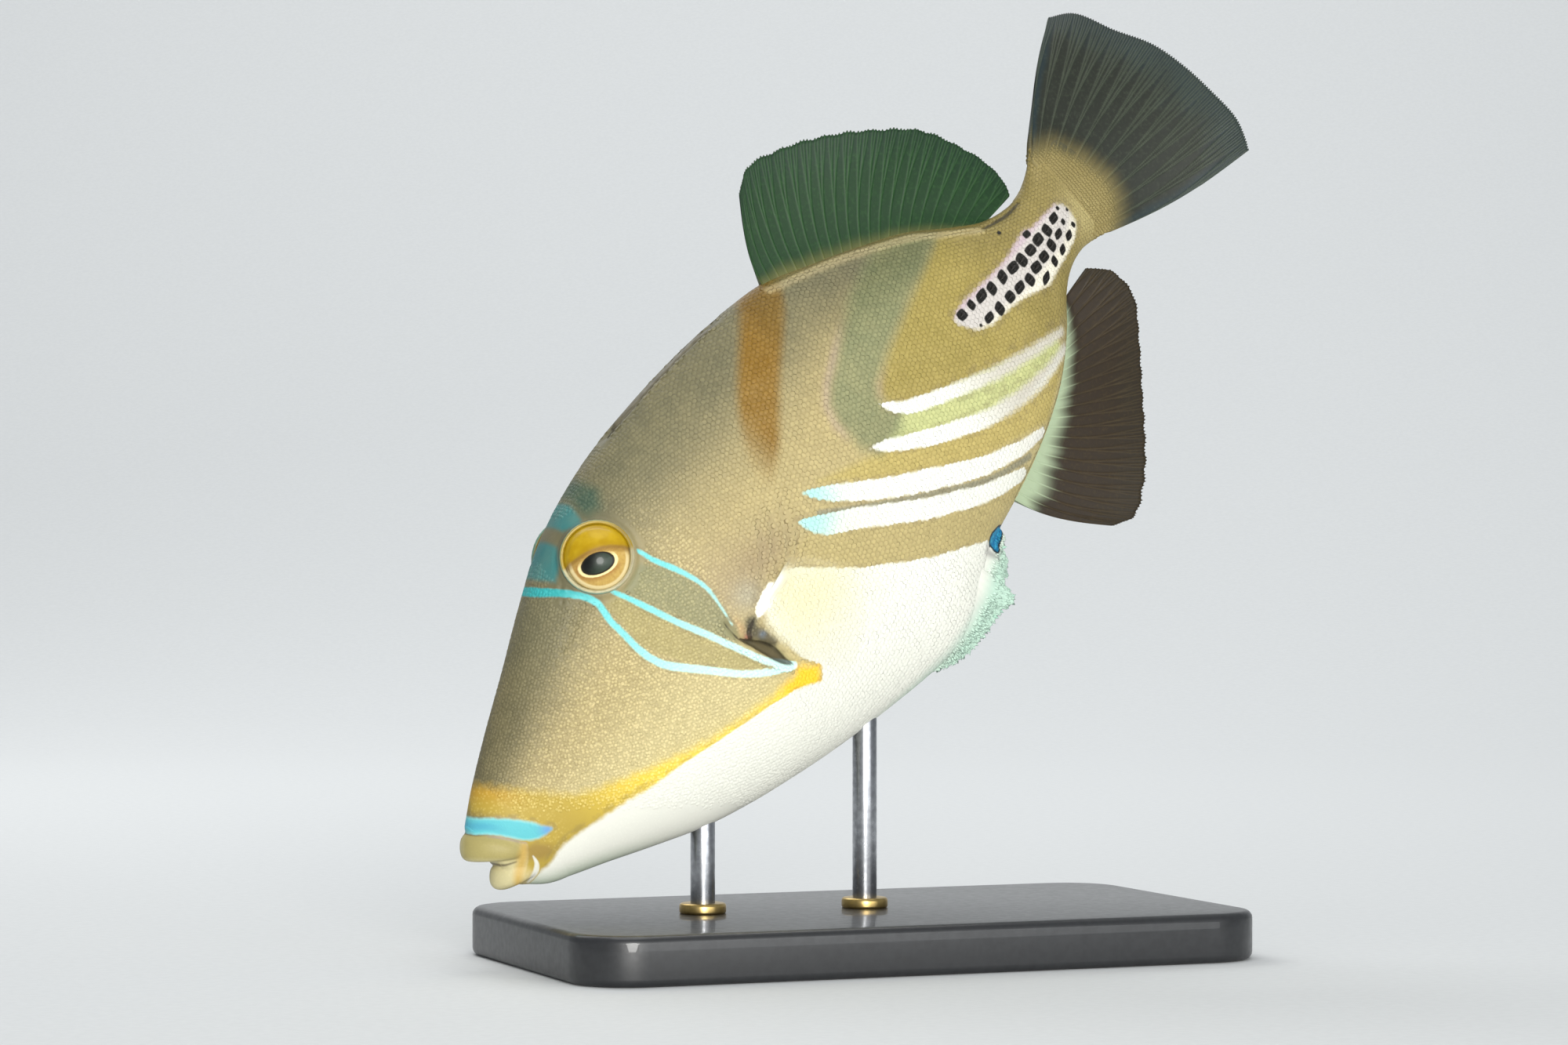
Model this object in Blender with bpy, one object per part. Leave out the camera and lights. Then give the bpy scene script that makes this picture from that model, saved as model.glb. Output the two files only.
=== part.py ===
"""A picasso triggerfish at life size, as a still museum model held head down on a plain display stand.

The fish is modelled along its own axis, in millimetres: u runs back from the upper lip, v runs up
towards the soft dorsal fin and y to the side. An empty turns all of it nose down at its pose.
The stand is modelled upright, with the underside of its base on the floor.
"""
import math
import random

import bmesh
import bpy
import numpy as np
from mathutils import Matrix, Vector

MM = 0.001
GAP = 0.3

# Pose: the pitch of the fish's axis, and where its upper lip stands in the world.
PITCH = math.radians(44.3)
LIP_X = -68.3
LIP_Z = 20.2

# Lengths along the fish.
GILL_CUT = 56.0
STALK_CUT = 118.0
BODY_END = 150.0

# The body's profiles, as (u, value) in millimetres: its outline from the side, its half width from
# above, the level where it is widest, and how full its section is above and below that level.
BACK = [(2.4, 2.2), (6, 4.7), (14, 9.6), (24, 15.2), (33, 20.3), (42, 24.9), (50, 27.7), (58, 29.5),
        (68, 30.5), (80, 30.9), (92, 30.2), (100, 28.8), (108, 25.4), (116, 21.8), (124, 17.6), (130, 13.0),
        (135, 9.6), (140, 8.1), (144, 8.4), (147, 9.9), (150, 12.2)]
BELLY = [(2.4, -11.6), (5, -14.2), (9, -16.4), (14, -18.9), (22, -23.1), (31, -27.5), (38, -30.0),
         (46, -32.3), (56, -34.7), (66, -36.5), (76, -37.9), (83, -38.4), (88, -37.0), (94, -33.2),
         (101, -29.7), (107, -28.0), (116, -25.1), (122.5, -22.3), (128.5, -18.8), (133.5, -14.6),
         (137.5, -10.3), (141, -8.1), (145, -7.2), (150, -8.6)]
HALF_WIDTH = [(2.4, 3.9), (6, 5.2), (14, 6.8), (24, 8.4), (34, 9.8), (46, 11.5), (58, 12.9), (70, 13.2),
              (84, 12.6), (98, 11.2), (110, 9.6), (122, 7.7), (132, 6.1), (139, 5.1), (144, 4.2), (147.5, 2.8),
              (150, 1.5)]
WIDEST_LEVEL = [(2.4, -4.6), (14, -5.0), (30, -5.5), (46, -4.0), (60, -1.0), (80, 0.0), (100, 0.5),
                (120, -0.8), (140, 0.2), (150, 1.4)]
FULL_ABOVE = [(2.4, 2.0), (20, 2.1), (40, 2.45), (50, 2.3), (66, 2.0), (100, 1.9), (150, 2.0)]
FULL_BELOW = [(2.4, 2.1), (24, 2.0), (50, 1.85), (80, 1.65), (104, 1.8), (130, 2.0), (150, 2.0)]
STATION_RUNS = [(2.4, 14, 7), (14, 56, 15), (56, 122, 16), (122, 150, 13)]
RING_POINTS = 32

# Eyes, each looking out, a little forward and up.
EYE_U = 45.6
EYE_V = 19.3
EYE_AXIS = Vector((-0.14, 0.92, 0.36)).normalized()
EYE_RADIUS = 5.6
EYE_DEPTH = 3.8
EYE_SINK = 1.5
LID_RADIUS = 5.5
LID_THICKNESS = 0.9
LID_SINK = 0.15
LID_SEGMENTS = 22
LID_SIDES = 7
EYE_SEGMENTS = 18
EYE_RINGS = 10
MOUND_REACH = 10.5
MOUND_RISE = 0.7

# Gill slit and nostrils.
SLIT_CENTRE = (55.7, -8.6)
SLIT_HALF_LENGTH = 7.6
SLIT_HALF_WIDTH = 0.75
SLIT_DEPTH = 2.4
SLIT_PROUD = 0.4
SLIT_LEAN = math.radians(9.4)
NOSTRILS = [(38.4, 19.4, 0.62), (37.0, 17.7, 0.5)]
NOSTRIL_DEPTH = 1.3

# Fins: where the rays are rooted along the body, and the line that their tips follow, as (u, v).
DORSAL_RAYS = 24
DORSAL_ROOT = (98.8, 134.6)
DORSAL_MARGIN = [(107.4, 42.4), (111.2, 44.9), (116.5, 43.4), (125.0, 37.9), (133.0, 31.6), (139.2, 24.2),
                 (142.8, 16.6), (143.4, 11.0), (141.6, 7.4)]
DORSAL_BOW = 0.07
DORSAL_SWAY = 1.3
ANAL_RAYS = 22
ANAL_ROOT = (106.6, 136.6)
ANAL_MARGIN = [(113.2, -41.0), (118.8, -44.0), (124.0, -43.8), (130.0, -40.6), (137.0, -33.2), (143.4, -25.4),
               (148.6, -17.8), (147.4, -11.2)]
ANAL_BOW = 0.05
ANAL_SWAY = -1.3
TAIL_RAYS = 12
TAIL_CENTRE = (148.0, 1.0)
TAIL_MARGIN = [(25.6, 21.7), (29.2, 19.0), (31.6, 12.6), (33.9, 7.0), (34.1, 1.6), (33.6, -4.4), (32.8, -10.2),
               (30.4, -15.0)]
TAIL_TWIST = (5.0, 17.0)
TAIL_BOW = 2.3
TAIL_ROWS = 7
BRANCHED_RAY = [(-0.36, 0, 0), (-0.2, 0.5, 1), (0, 1, 0), (0.2, 0.5, 1), (0.36, 0, 0)]
TAIL_NOTCH = 0.01
FIN_ROWS = 5
FIN_NOTCH = 0.014
FIN_SINK = 1.6
FIN_WAVES = 1.2
FIN_WAVE_START = 0.6
TIP_CROWDING = 1.08

# How thick a fin is: half its membrane, what its foot adds over a share of its length, and how
# high a ray stands on each face at its root, with the share of that lost by its tip.
FIN_HALF_THICKNESS = 0.27
FIN_FOOT = (0.75, 0.3)
TAIL_FOOT = (0.95, 0.35)
PECTORAL_FOOT = (0.5, 0.35)
RAY_RISE = 0.24
RAY_TAPER = 0.65

# Pectoral fins, half spread and held off the flank.
PECTORAL_RAYS = 13
PECTORAL_ROOT = ((58.2, -5.4), (57.6, -14.8))
PECTORAL_SPREAD = (20.0, -58.0)
PECTORAL_LENGTHS = (9.0, 14.5, 9.0)
PECTORAL_FLARE = math.radians(27)
PECTORAL_CURL = 0.35
PECTORAL_SINK = 1.0
PECTORAL_NOTCH = 0.03

# Belly flap: the thin keel that the pelvic bone carries, ragged behind its spine.
FLAP_ROOT = (83.0, 101.6)
FLAP_MARGIN = [(82.0, -38.8), (86.5, -39.4), (91.0, -39.8), (94.6, -39.9), (95.2, -37.7), (98.2, -34.9),
               (100.2, -32.2), (102.4, -29.8)]
FLAP_COLUMNS = 21
FLAP_ROWS = 6
FLAP_SINK = 1.4
FLAP_EDGE = 0.35
FLAP_FOOT = 2.6
FLAP_RIPPLE = 0.25
FLAP_NOTCH = 0.07

# Folded first dorsal fin: root, tip and root radius of each of its three spines, in its groove.
FOLDED_SPINES = [((64.0, 0.0, 30.2), (86.0, 0.0, 31.2), 1.2), ((70.0, 0.45, 30.0), (83.0, 0.35, 30.9), 0.85),
                 ((76.0, -0.45, 30.0), (84.5, -0.3, 30.8), 0.7)]
SPINE_SHAPE = [(0, 0.75), (0.1, 1.0), (0.35, 0.85), (0.7, 0.6), (1, 0.28)]
SPINE_WEB = [(65.0, 29.8, 0.6), (76.0, 29.9, 0.75), (86.5, 30.5, 0.45)]
GROOVE = [(61.0, 30.6, 0.9), (63.5, 30.5, 1.75), (75.0, 30.9, 1.85), (86.0, 31.3, 1.7), (89.0, 31.5, 0.9)]

# Rows of small forward-pointing spines on each side of the tail stalk, as (u, v) from first to last.
SPINE_ROWS = [([(119.7, 2.7), (131.0, 1.7), (144.6, 3.2)], 12),
              ([(120.9, -1.1), (131.0, -1.7), (145.6, 1.7)], 12),
              ([(135.2, -3.5), (145.0, -0.7)], 5)]
SPINULE_LENGTH = 1.7
SPINULE_RADIUS = 0.62
SPINULE_TIP = 0.07
SPINULE_ROOT = 0.6
SPINULE_LIFT = (0.4, 0.75)

# Lips, each a bowed roll from corner to corner. The mouth's line is level at the pose, so a lip's
# corner (back, out, up), its front (back, up), half height and half depth are given level too.
UPPER_LIP = ((8.0, 4.5, -0.9), (1.3, -0.4), 2.3, 1.85)
LOWER_LIP = ((9.8, 4.1, -4.1), (6.1, -5.5), 1.8, 1.75)
LIP_RINGS = 16
LIP_SIDES = 12
LIP_CORNER_SIZE = 0.45

# Stand: a flat base with eased edges and two short rods up to the belly.
BASE_LENGTH = 118.0
BASE_WIDTH = 66.0
BASE_HEIGHT = 8.0
BASE_CORNER = 10.0
BASE_EDGE = 1.4
ROD_RADIUS = 2.0
ROD_SIDES = 20
ROD_PLACES = {"stand_rod_front": -27.8, "stand_rod_rear": 0.7}

SKIN = (0.45, 0.35, 0.16)
BELLY_WHITE = (0.84, 0.85, 0.72)
LIP_TAN = (0.50, 0.44, 0.22)
TAIL_GOLD = (0.42, 0.34, 0.12)
FIN_GREY = (0.10, 0.12, 0.11)
EYE_GOLD = (0.55, 0.34, 0.10)
SPINE_TAN = (0.26, 0.22, 0.13)
STAND_BLACK = (0.03, 0.03, 0.035)
ROD_STEEL = (0.55, 0.56, 0.58)


def curve(points):
    """A smooth function through (x, value) points, level beyond the first and the last."""
    xs, values = np.array(points, float).T
    steps = np.diff(xs)
    rises = np.diff(values) / steps
    inner = (rises[:-1] * steps[1:] + rises[1:] * steps[:-1]) / (steps[:-1] + steps[1:])
    slopes = np.concatenate([rises[:1], inner, rises[-1:]])

    def at(x):
        x = min(max(x, xs[0]), xs[-1])
        i = min(int(np.searchsorted(xs, x, side="right")) - 1, len(steps) - 1)
        t = (x - xs[i]) / steps[i]
        start = (1 + 2 * t) * (1 - t) ** 2 * values[i] + t * (1 - t) ** 2 * steps[i] * slopes[i]
        return float(start + t * t * (3 - 2 * t) * values[i + 1] - t * t * (1 - t) * steps[i] * slopes[i + 1])

    return at


def path(points):
    """A smooth line through points of any size, as a function of the share of its length from 0 to 1."""
    points = np.array(points, float)
    along = np.concatenate([[0], np.cumsum(np.linalg.norm(np.diff(points, axis=0), axis=1))])
    along /= along[-1]
    parts = [curve(list(zip(along, axis))) for axis in points.T]
    return lambda share: Vector([part(share) for part in parts])


back, belly, half_width = curve(BACK), curve(BELLY), curve(HALF_WIDTH)
widest_level, full_above, full_below = curve(WIDEST_LEVEL), curve(FULL_ABOVE), curve(FULL_BELOW)


def eye_mound(u, v):
    """How far the skin swells out around an eye."""
    away = math.hypot(u - EYE_U, v - EYE_V) / MOUND_REACH
    return MOUND_RISE * (1 - away * away) ** 2 if away < 1 else 0.0


def flank(u, v):
    """The body's half width at a place on its side."""
    level = widest_level(u)
    reach = back(u) - level if v > level else level - belly(u)
    power = full_above(u) if v > level else full_below(u)
    share = min(abs(v - level) / reach, 1.0)
    return half_width(u) * (1 - share ** power) ** (1 / power) + eye_mound(u, v)


def body_point(u, angle):
    """A point of the body's section at u, from the angle round it: 90 degrees is the back."""
    level = widest_level(u)
    above = math.sin(angle) > 0
    reach = back(u) - level if above else level - belly(u)
    power = 2 / (full_above(u) if above else full_below(u))
    v = level + math.copysign(reach * abs(math.sin(angle)) ** power, math.sin(angle))
    y = math.copysign(half_width(u) * abs(math.cos(angle)) ** power, math.cos(angle))
    if abs(math.cos(angle)) > 1e-6:
        y += math.copysign(eye_mound(u, v), y)
    return u, y, v


def add_object(name, points, faces, parent=None):
    """A mesh object from points in millimetres, with its faces turned outwards."""
    mesh = bpy.data.meshes.new(name)
    mesh.from_pydata([Vector(point) * MM for point in points], [], faces)
    build = bmesh.new()
    build.from_mesh(mesh)
    bmesh.ops.recalc_face_normals(build, faces=build.faces)
    build.to_mesh(mesh)
    build.free()
    item = bpy.data.objects.new(name, mesh)
    item.parent = parent
    bpy.context.scene.collection.objects.link(item)
    return item


def paint(item, colour, roughness, metallic=0.0):
    """One Principled material of the item's own, and smooth shading up to a crease."""
    finish = bpy.data.materials.new(item.name + "_finish")
    finish.use_nodes = True
    shader = finish.node_tree.nodes["Principled BSDF"]
    shader.inputs["Base Color"].default_value = (*colour, 1)
    shader.inputs["Roughness"].default_value = roughness
    shader.inputs["Metallic"].default_value = metallic
    item.data.materials.clear()
    item.data.materials.append(finish)
    item.data.shade_smooth()
    item.data.set_sharp_from_angle(angle=math.radians(40))


def lathe_grid(rings, closed_ends=True):
    """Faces over rings of equal counts of points, each ring closed, the ends covered."""
    count = len(rings[0])
    points = [point for ring in rings for point in ring]
    faces = []
    for i in range(len(rings) - 1):
        for j in range(count):
            a, b = i * count + j, i * count + (j + 1) % count
            faces.append((a, b, b + count, a + count))
    if closed_ends:
        faces.append(tuple(range(count)))
        faces.append(tuple(range(len(points) - count, len(points))))
    return points, faces


def whole_body(name, parent):
    """The whole body from muzzle to tail base, before it is parted."""
    stations = []
    for start, end, count in STATION_RUNS:
        stations += [start + (end - start) * i / count for i in range(count)]
    stations.append(BODY_END)
    angles = [2 * math.pi * j / RING_POINTS for j in range(RING_POINTS)]
    rings = [[body_point(u, angle) for angle in angles] for u in stations]
    return add_object(name, *lathe_grid(rings), parent)


def swell(item, amount):
    """Moves every point out along its normal, which gives a cutter that leaves a clearance."""
    build = bmesh.new()
    build.from_mesh(item.data)
    build.normal_update()
    for point in build.verts:
        point.co += point.normal * amount * MM
    build.to_mesh(item.data)
    build.free()
    return item


def as_cutter(item):
    item.hide_render = True
    item.display_type = "WIRE"
    return item


def keep_between(item, low, high):
    """Keeps the length of a body between two flat cuts across it, and closes them."""
    build = bmesh.new()
    build.from_mesh(item.data)
    for place, side in ((low, -1), (high, 1)):
        if place is None:
            continue
        everything = build.verts[:] + build.edges[:] + build.faces[:]
        bmesh.ops.bisect_plane(build, geom=everything, dist=1e-8, plane_co=(place * MM, 0, 0),
                               plane_no=(side, 0, 0), clear_outer=True)
        bmesh.ops.holes_fill(build, edges=[edge for edge in build.edges if edge.is_boundary], sides=0)
    bmesh.ops.recalc_face_normals(build, faces=build.faces)
    build.to_mesh(item.data)
    build.free()
    return item


def keep_largest(item):
    """Keeps only the closed surface that holds most, so scraps and sealed hollows go."""
    build = bmesh.new()
    build.from_mesh(item.data)
    unseen = set(build.faces)
    shells = []
    while unseen:
        shell, edge_of_shell = set(), [unseen.pop()]
        while edge_of_shell:
            face = edge_of_shell.pop()
            shell.add(face)
            for edge in face.edges:
                for other in edge.link_faces:
                    if other in unseen:
                        unseen.discard(other)
                        edge_of_shell.append(other)
        volume = sum(face.calc_center_median().dot(face.normal) * face.calc_area() for face in shell)
        shells.append((volume, shell))
    largest = max(shells, key=lambda entry: entry[0])[1]
    bmesh.ops.delete(build, geom=[face for face in build.faces if face not in largest], context="FACES")
    build.to_mesh(item.data)
    build.free()


def combine(item, others, operation):
    """One Boolean of an item with other closed meshes, applied, the others then removed."""
    group = bpy.data.collections.new(item.name + "_with")
    bpy.context.scene.collection.children.link(group)
    for other in others:
        for home in other.users_collection:
            home.objects.unlink(other)
        group.objects.link(other)
    change = item.modifiers.new("join", "BOOLEAN")
    change.operation = operation
    change.operand_type = "COLLECTION"
    change.collection = group
    change.solver = "EXACT"
    bpy.context.view_layer.update()
    graph = bpy.context.evaluated_depsgraph_get()
    result = bpy.data.meshes.new_from_object(item.evaluated_get(graph))
    item.modifiers.clear()
    item.data = result
    for other in others:
        bpy.data.objects.remove(other)
    bpy.data.collections.remove(group)
    keep_largest(item)
    return item


def copy_of(item, name):
    twin = item.copy()
    twin.data = item.data.copy()
    twin.name = name
    twin.hide_render = False
    twin.display_type = "TEXTURED"
    bpy.context.scene.collection.objects.link(twin)
    return twin


def cut(item, *cutters):
    """Cuts copies of the cutters out of an item."""
    return combine(item, [copy_of(cutter, "cut") for cutter in cutters], "DIFFERENCE")


def ellipsoid(name, centre, axis, radius, depth, parent, segments, rings):
    """A ball flattened along its axis, from a sphere."""
    build = bmesh.new()
    bmesh.ops.create_uvsphere(build, u_segments=segments, v_segments=rings, radius=radius * MM)
    turn = Vector((0, 0, 1)).rotation_difference(axis).to_matrix().to_4x4()
    shape = Matrix.Translation(Vector(centre) * MM) @ turn @ Matrix.Diagonal((1, 1, depth / radius, 1))
    build.transform(shape)
    mesh = bpy.data.meshes.new(name)
    build.to_mesh(mesh)
    build.free()
    item = bpy.data.objects.new(name, mesh)
    item.parent = parent
    bpy.context.scene.collection.objects.link(item)
    return item


def tapered_tube(name, points, radii, sides, parent):
    """A closed tube along a line of points, with its own radius at each."""
    points = [Vector(point) for point in points]
    rings = []
    for i, point in enumerate(points):
        ahead = (points[min(i + 1, len(points) - 1)] - points[max(i - 1, 0)]).normalized()
        side = ahead.cross(Vector((0, 0, 1)) if abs(ahead.z) < 0.9 else Vector((0, 1, 0))).normalized()
        rise = side.cross(ahead)
        turns = [2 * math.pi * (j + 0.5) / sides for j in range(sides)]
        rings.append([point + radii[i] * (side * math.cos(turn) + rise * math.sin(turn)) for turn in turns])
    return add_object(name, *lathe_grid(rings), parent)


def eye_seat(side):
    """The centre of an eye's opening and the way it looks; side is -1 on the left and 1 on the right."""
    axis = Vector((EYE_AXIS.x, side * EYE_AXIS.y, EYE_AXIS.z))
    return Vector((EYE_U, side * flank(EYE_U, EYE_V), EYE_V)), axis


def make_eye(name, side, parent):
    seat, axis = eye_seat(side)
    ball = ellipsoid(name, seat - axis * EYE_SINK, axis, EYE_RADIUS, EYE_DEPTH, parent, EYE_SEGMENTS, EYE_RINGS)
    paint(ball, EYE_GOLD, 0.15)
    return ball


def lid_ring(side, parent):
    """The fleshy rim round an eye, as a ring that the head is fused with."""
    seat, axis = eye_seat(side)
    across = axis.cross(Vector((0, 0, 1))).normalized()
    up = across.cross(axis).normalized()
    rings = []
    for i in range(LID_SEGMENTS):
        turn = 2 * math.pi * i / LID_SEGMENTS
        out = across * math.cos(turn) + up * math.sin(turn)
        centre = seat + out * LID_RADIUS - axis * LID_SINK
        turns = [2 * math.pi * j / LID_SIDES for j in range(LID_SIDES)]
        rings.append([centre + LID_THICKNESS * (out * math.cos(roll) + axis * math.sin(roll))
                      for roll in turns])
    points, faces = lathe_grid(rings, closed_ends=False)
    last = len(points) - LID_SIDES
    faces += [(last + j, last + (j + 1) % LID_SIDES, (j + 1) % LID_SIDES, j) for j in range(LID_SIDES)]
    return add_object("lid_ring", points, faces, parent)


def slit_cutter(side, parent):
    u, v = SLIT_CENTRE
    centre = Vector((u, side * (flank(u, v) + SLIT_PROUD), v))
    slit = ellipsoid("slit", (0, 0, 0), Vector((0, 0, 1)), 1, 1, parent, 12, 8)
    size = Matrix.Diagonal((SLIT_HALF_WIDTH, SLIT_DEPTH, SLIT_HALF_LENGTH, 1))
    place = Matrix.Translation(centre * MM) @ Matrix.Rotation(SLIT_LEAN, 4, "Y")
    slit.data.transform(place @ size)
    return slit


def nostril_cutters(side, parent):
    pits = []
    for u, v, radius in NOSTRILS:
        centre = (u, side * flank(u, v), v)
        way = Vector((EYE_AXIS.x, side * EYE_AXIS.y, EYE_AXIS.z))
        pits.append(ellipsoid("pit", centre, way, radius, NOSTRIL_DEPTH, parent, 8, 6))
    return pits


def make_head(body, eyes, parent):
    head = keep_between(copy_of(body, "head"), None, GILL_CUT - GAP / 2)
    combine(head, [lid_ring(side, parent) for side in (-1, 1)], "UNION")
    sockets = [swell(copy_of(eye, "socket"), GAP) for eye in eyes]
    pits = [pit for side in (-1, 1) for pit in nostril_cutters(side, parent)]
    slits = [slit_cutter(side, parent) for side in (-1, 1)]
    combine(head, sockets + pits + slits, "DIFFERENCE")
    paint(head, SKIN, 0.45)
    return head


def make_lip(name, corner, front, half_height, half_depth, parent):
    """A roll of flesh bowed round the muzzle's end, thinner at its corners."""
    corner_back, corner_out, corner_up = corner
    level = Matrix.Rotation(PITCH, 3, "Y")
    rings = []
    for i in range(LIP_RINGS + 1):
        bow = math.pi * (i / LIP_RINGS - 0.5)
        share = math.cos(bow)
        size = LIP_CORNER_SIZE + (1 - LIP_CORNER_SIZE) * share ** 0.5
        middle = Vector((corner_back + (front[0] - corner_back) * share, corner_out * math.sin(bow),
                         corner_up + (front[1] - corner_up) * share))
        out = Vector((-math.cos(bow), math.sin(bow), 0))
        turns = [2 * math.pi * j / LIP_SIDES for j in range(LIP_SIDES)]
        rings.append([level @ (middle + out * half_depth * size * math.cos(turn)
                               + Vector((0, 0, half_height * size * math.sin(turn)))) for turn in turns])
    lip = add_object(name, *lathe_grid(rings), parent)
    paint(lip, LIP_TAN, 0.4)
    return lip


def make_torso(body, parent):
    torso = keep_between(copy_of(body, "torso"), GILL_CUT + GAP / 2, STALK_CUT - GAP / 2)
    groove = tapered_tube("groove", [(u, 0, v) for u, v, _ in GROOVE], [r for _, _, r in GROOVE], 10, parent)
    slits = [slit_cutter(side, parent) for side in (-1, 1)]
    combine(torso, [groove] + slits, "DIFFERENCE")
    paint(torso, SKIN, 0.45)
    return torso


def make_folded_spines(parent):
    """The three spines of the first dorsal fin, lying back in their groove on a low web of skin."""
    spines = []
    for number, (root, tip, radius) in enumerate(FOLDED_SPINES):
        line = [Vector(root).lerp(Vector(tip), share) for share, _ in SPINE_SHAPE]
        radii = [radius * size for _, size in SPINE_SHAPE]
        spines.append(tapered_tube("spine%d" % number, line, radii, 8, parent))
    web = tapered_tube("web", [(u, 0, v) for u, v, _ in SPINE_WEB], [r for _, _, r in SPINE_WEB], 6, parent)
    first = spines[0]
    first.name = "dorsal_spines"
    combine(first, spines[1:] + [web], "UNION")
    paint(first, SPINE_TAN, 0.5)
    return first


def spinule(place, side, parent):
    """One small spine of the tail stalk, bent to point forward, with its root sunk in the skin."""
    u, v = place
    base = Vector((u, side * flank(u, v), v))
    out = Vector((0, side, 0))
    ahead = Vector((-1, 0, 0))
    bend, lift = SPINULE_LIFT
    line = [base - out * SPINULE_ROOT, base + out * bend + ahead * 0.25,
            base + out * lift + ahead * SPINULE_LENGTH]
    return tapered_tube("spinule", line, [SPINULE_RADIUS, SPINULE_RADIUS * 0.8, SPINULE_TIP], 4, parent)


def make_tail_stalk(body, parent):
    stalk = keep_between(copy_of(body, "tail_stalk"), STALK_CUT + GAP / 2, None)
    spinules = []
    for side in (-1, 1):
        for line, count in SPINE_ROWS:
            row = path(line)
            spinules += [spinule(row(i / (count - 1)), side, parent) for i in range(count)]
    combine(stalk, spinules, "UNION")
    paint(stalk, TAIL_GOLD, 0.45)
    return stalk


def ray_columns(rays, foot_share=0.24):
    """Where a fin's points lie across it: each ray's crest between its two feet on the membrane.

    Each column is (share across, height of the crest at the root, the same at the tip)."""
    pitch = 1 / (rays - 1)
    foot = foot_share * pitch
    columns = [(0.0, 1, 1), (foot, 0, 0)]
    for i in range(1, rays - 1):
        columns += [(i * pitch - foot, 0, 0), (i * pitch, 1, 1), (i * pitch + foot, 0, 0)]
    return columns + [(1 - foot, 0, 0), (1.0, 1, 1)]


def footed(edge, foot):
    """Half the thickness of a membrane on its way out, thicker over its foot."""
    extra, share = foot
    return lambda out: edge + extra * max(0.0, 1 - out / share) ** 1.5


def branched_columns(rays):
    """The same for rays that part in two on their way out."""
    pitch = 1 / rays
    columns = [(0.0, 1, 1)]
    for i in range(rays):
        middle = (i + 0.5) * pitch
        columns += [(middle + pitch * place, near, far) for place, near, far in BRANCHED_RAY]
    return columns + [(1.0, 1, 1)]


def ray_rise(out):
    return RAY_RISE * (1 - RAY_TAPER * out)


def rayed_sheet(name, point, columns, rows, thickness, notch, parent, rise=ray_rise):
    """A closed fin: a membrane with its rays raised on both faces.

    point(across, out) is the middle of the fin, thickness(out) the membrane's half thickness and
    rise(out) the height of a ray. Both faces are split into triangles alike."""
    step = 1e-3
    left, right = [], []
    for across, near, far in columns:
        for row in range(rows + 1):
            out = row / rows
            crest = near + (far - near) * min(1.0, max(0.0, (out - 0.3) / 0.3))
            reach = out * (1 - notch * (1 - crest))
            middle = point(across, reach)
            along = point(across, min(reach + step, 1)) - point(across, max(reach - step, 0))
            wide = point(min(across + step, 1), reach) - point(max(across - step, 0), reach)
            normal = wide.cross(along).normalized()
            half = thickness(out) + rise(out) * crest
            left.append(middle + normal * half)
            right.append(middle - normal * half)
    per_column, count = rows + 1, len(left)
    triangles = []
    for i in range(len(columns) - 1):
        for row in range(rows):
            a = i * per_column + row
            b, c, d = a + 1, a + per_column + 1, a + per_column
            for one, two, three in ((a, b, c), (a, c, d)):
                triangles += [(one, two, three), (one + count, three + count, two + count)]
    border = [row for row in range(per_column)]
    border += [i * per_column + rows for i in range(1, len(columns))]
    border += [(len(columns) - 1) * per_column + row for row in range(rows - 1, -1, -1)]
    border += [i * per_column for i in range(len(columns) - 2, 0, -1)]
    for one, two in zip(border, border[1:] + border[:1]):
        triangles += [(one, two, two + count), (one, two + count, one + count)]
    return add_object(name, left + right, triangles, parent)


def fin_on_edge(name, roots, root_line, margin, rays, bow, sway, clearance, parent):
    """A soft fin that stands on the back or hangs from the belly, cut to meet the body.

    bow bends its rays forwards, and sway waves its edge from side to side."""
    tips = path(margin)
    low, high = roots
    sink = math.copysign(FIN_SINK, -margin[0][1])

    def point(across, out):
        u = low + (high - low) * across
        root = Vector((u, root_line(u) + sink))
        tip = tips(across ** TIP_CROWDING)
        lean = (tip - root).length * bow * math.sin(math.pi * out)
        flat = root.lerp(tip, out) + Vector((-1, 0)) * lean * (1 - across)
        wave = sway * out * out * math.sin(2 * math.pi * across * FIN_WAVES + FIN_WAVE_START)
        return Vector((flat.x, wave, flat.y))

    thickness = footed(FIN_HALF_THICKNESS, FIN_FOOT)
    fin = rayed_sheet(name, point, ray_columns(rays), FIN_ROWS, thickness, FIN_NOTCH, parent)
    cut(fin, clearance)
    paint(fin, FIN_GREY, 0.35)
    return fin


def make_tail_fin(parent):
    """The tail fin, its rays parting from the stalk's end, twisted a little as in a turn."""
    start_u, start_v = TAIL_CENTRE
    root_u = BODY_END + GAP
    tips = path(TAIL_MARGIN)
    top, bottom = back(BODY_END) - 0.15, belly(BODY_END) + 0.15

    def point(across, out):
        root = Vector((root_u - start_u, top + (bottom - top) * across - start_v))
        tip = tips(across)
        flat = root.lerp(tip, out) + Vector((0, TAIL_BOW * math.sin(math.pi * out) * (1 - 2 * across)))
        share = min(max((flat.y - 4) / 18, -1), 1)
        turn = math.radians(TAIL_TWIST[0] + TAIL_TWIST[1] * share) * out
        length = flat.x - root.x
        return Vector((root_u + length * math.cos(turn), length * math.sin(turn), start_v + flat.y))

    thickness = footed(FIN_HALF_THICKNESS, TAIL_FOOT)
    fin = rayed_sheet("tail_fin", point, branched_columns(TAIL_RAYS), TAIL_ROWS, thickness, TAIL_NOTCH, parent)
    paint(fin, FIN_GREY, 0.35)
    return fin


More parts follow.
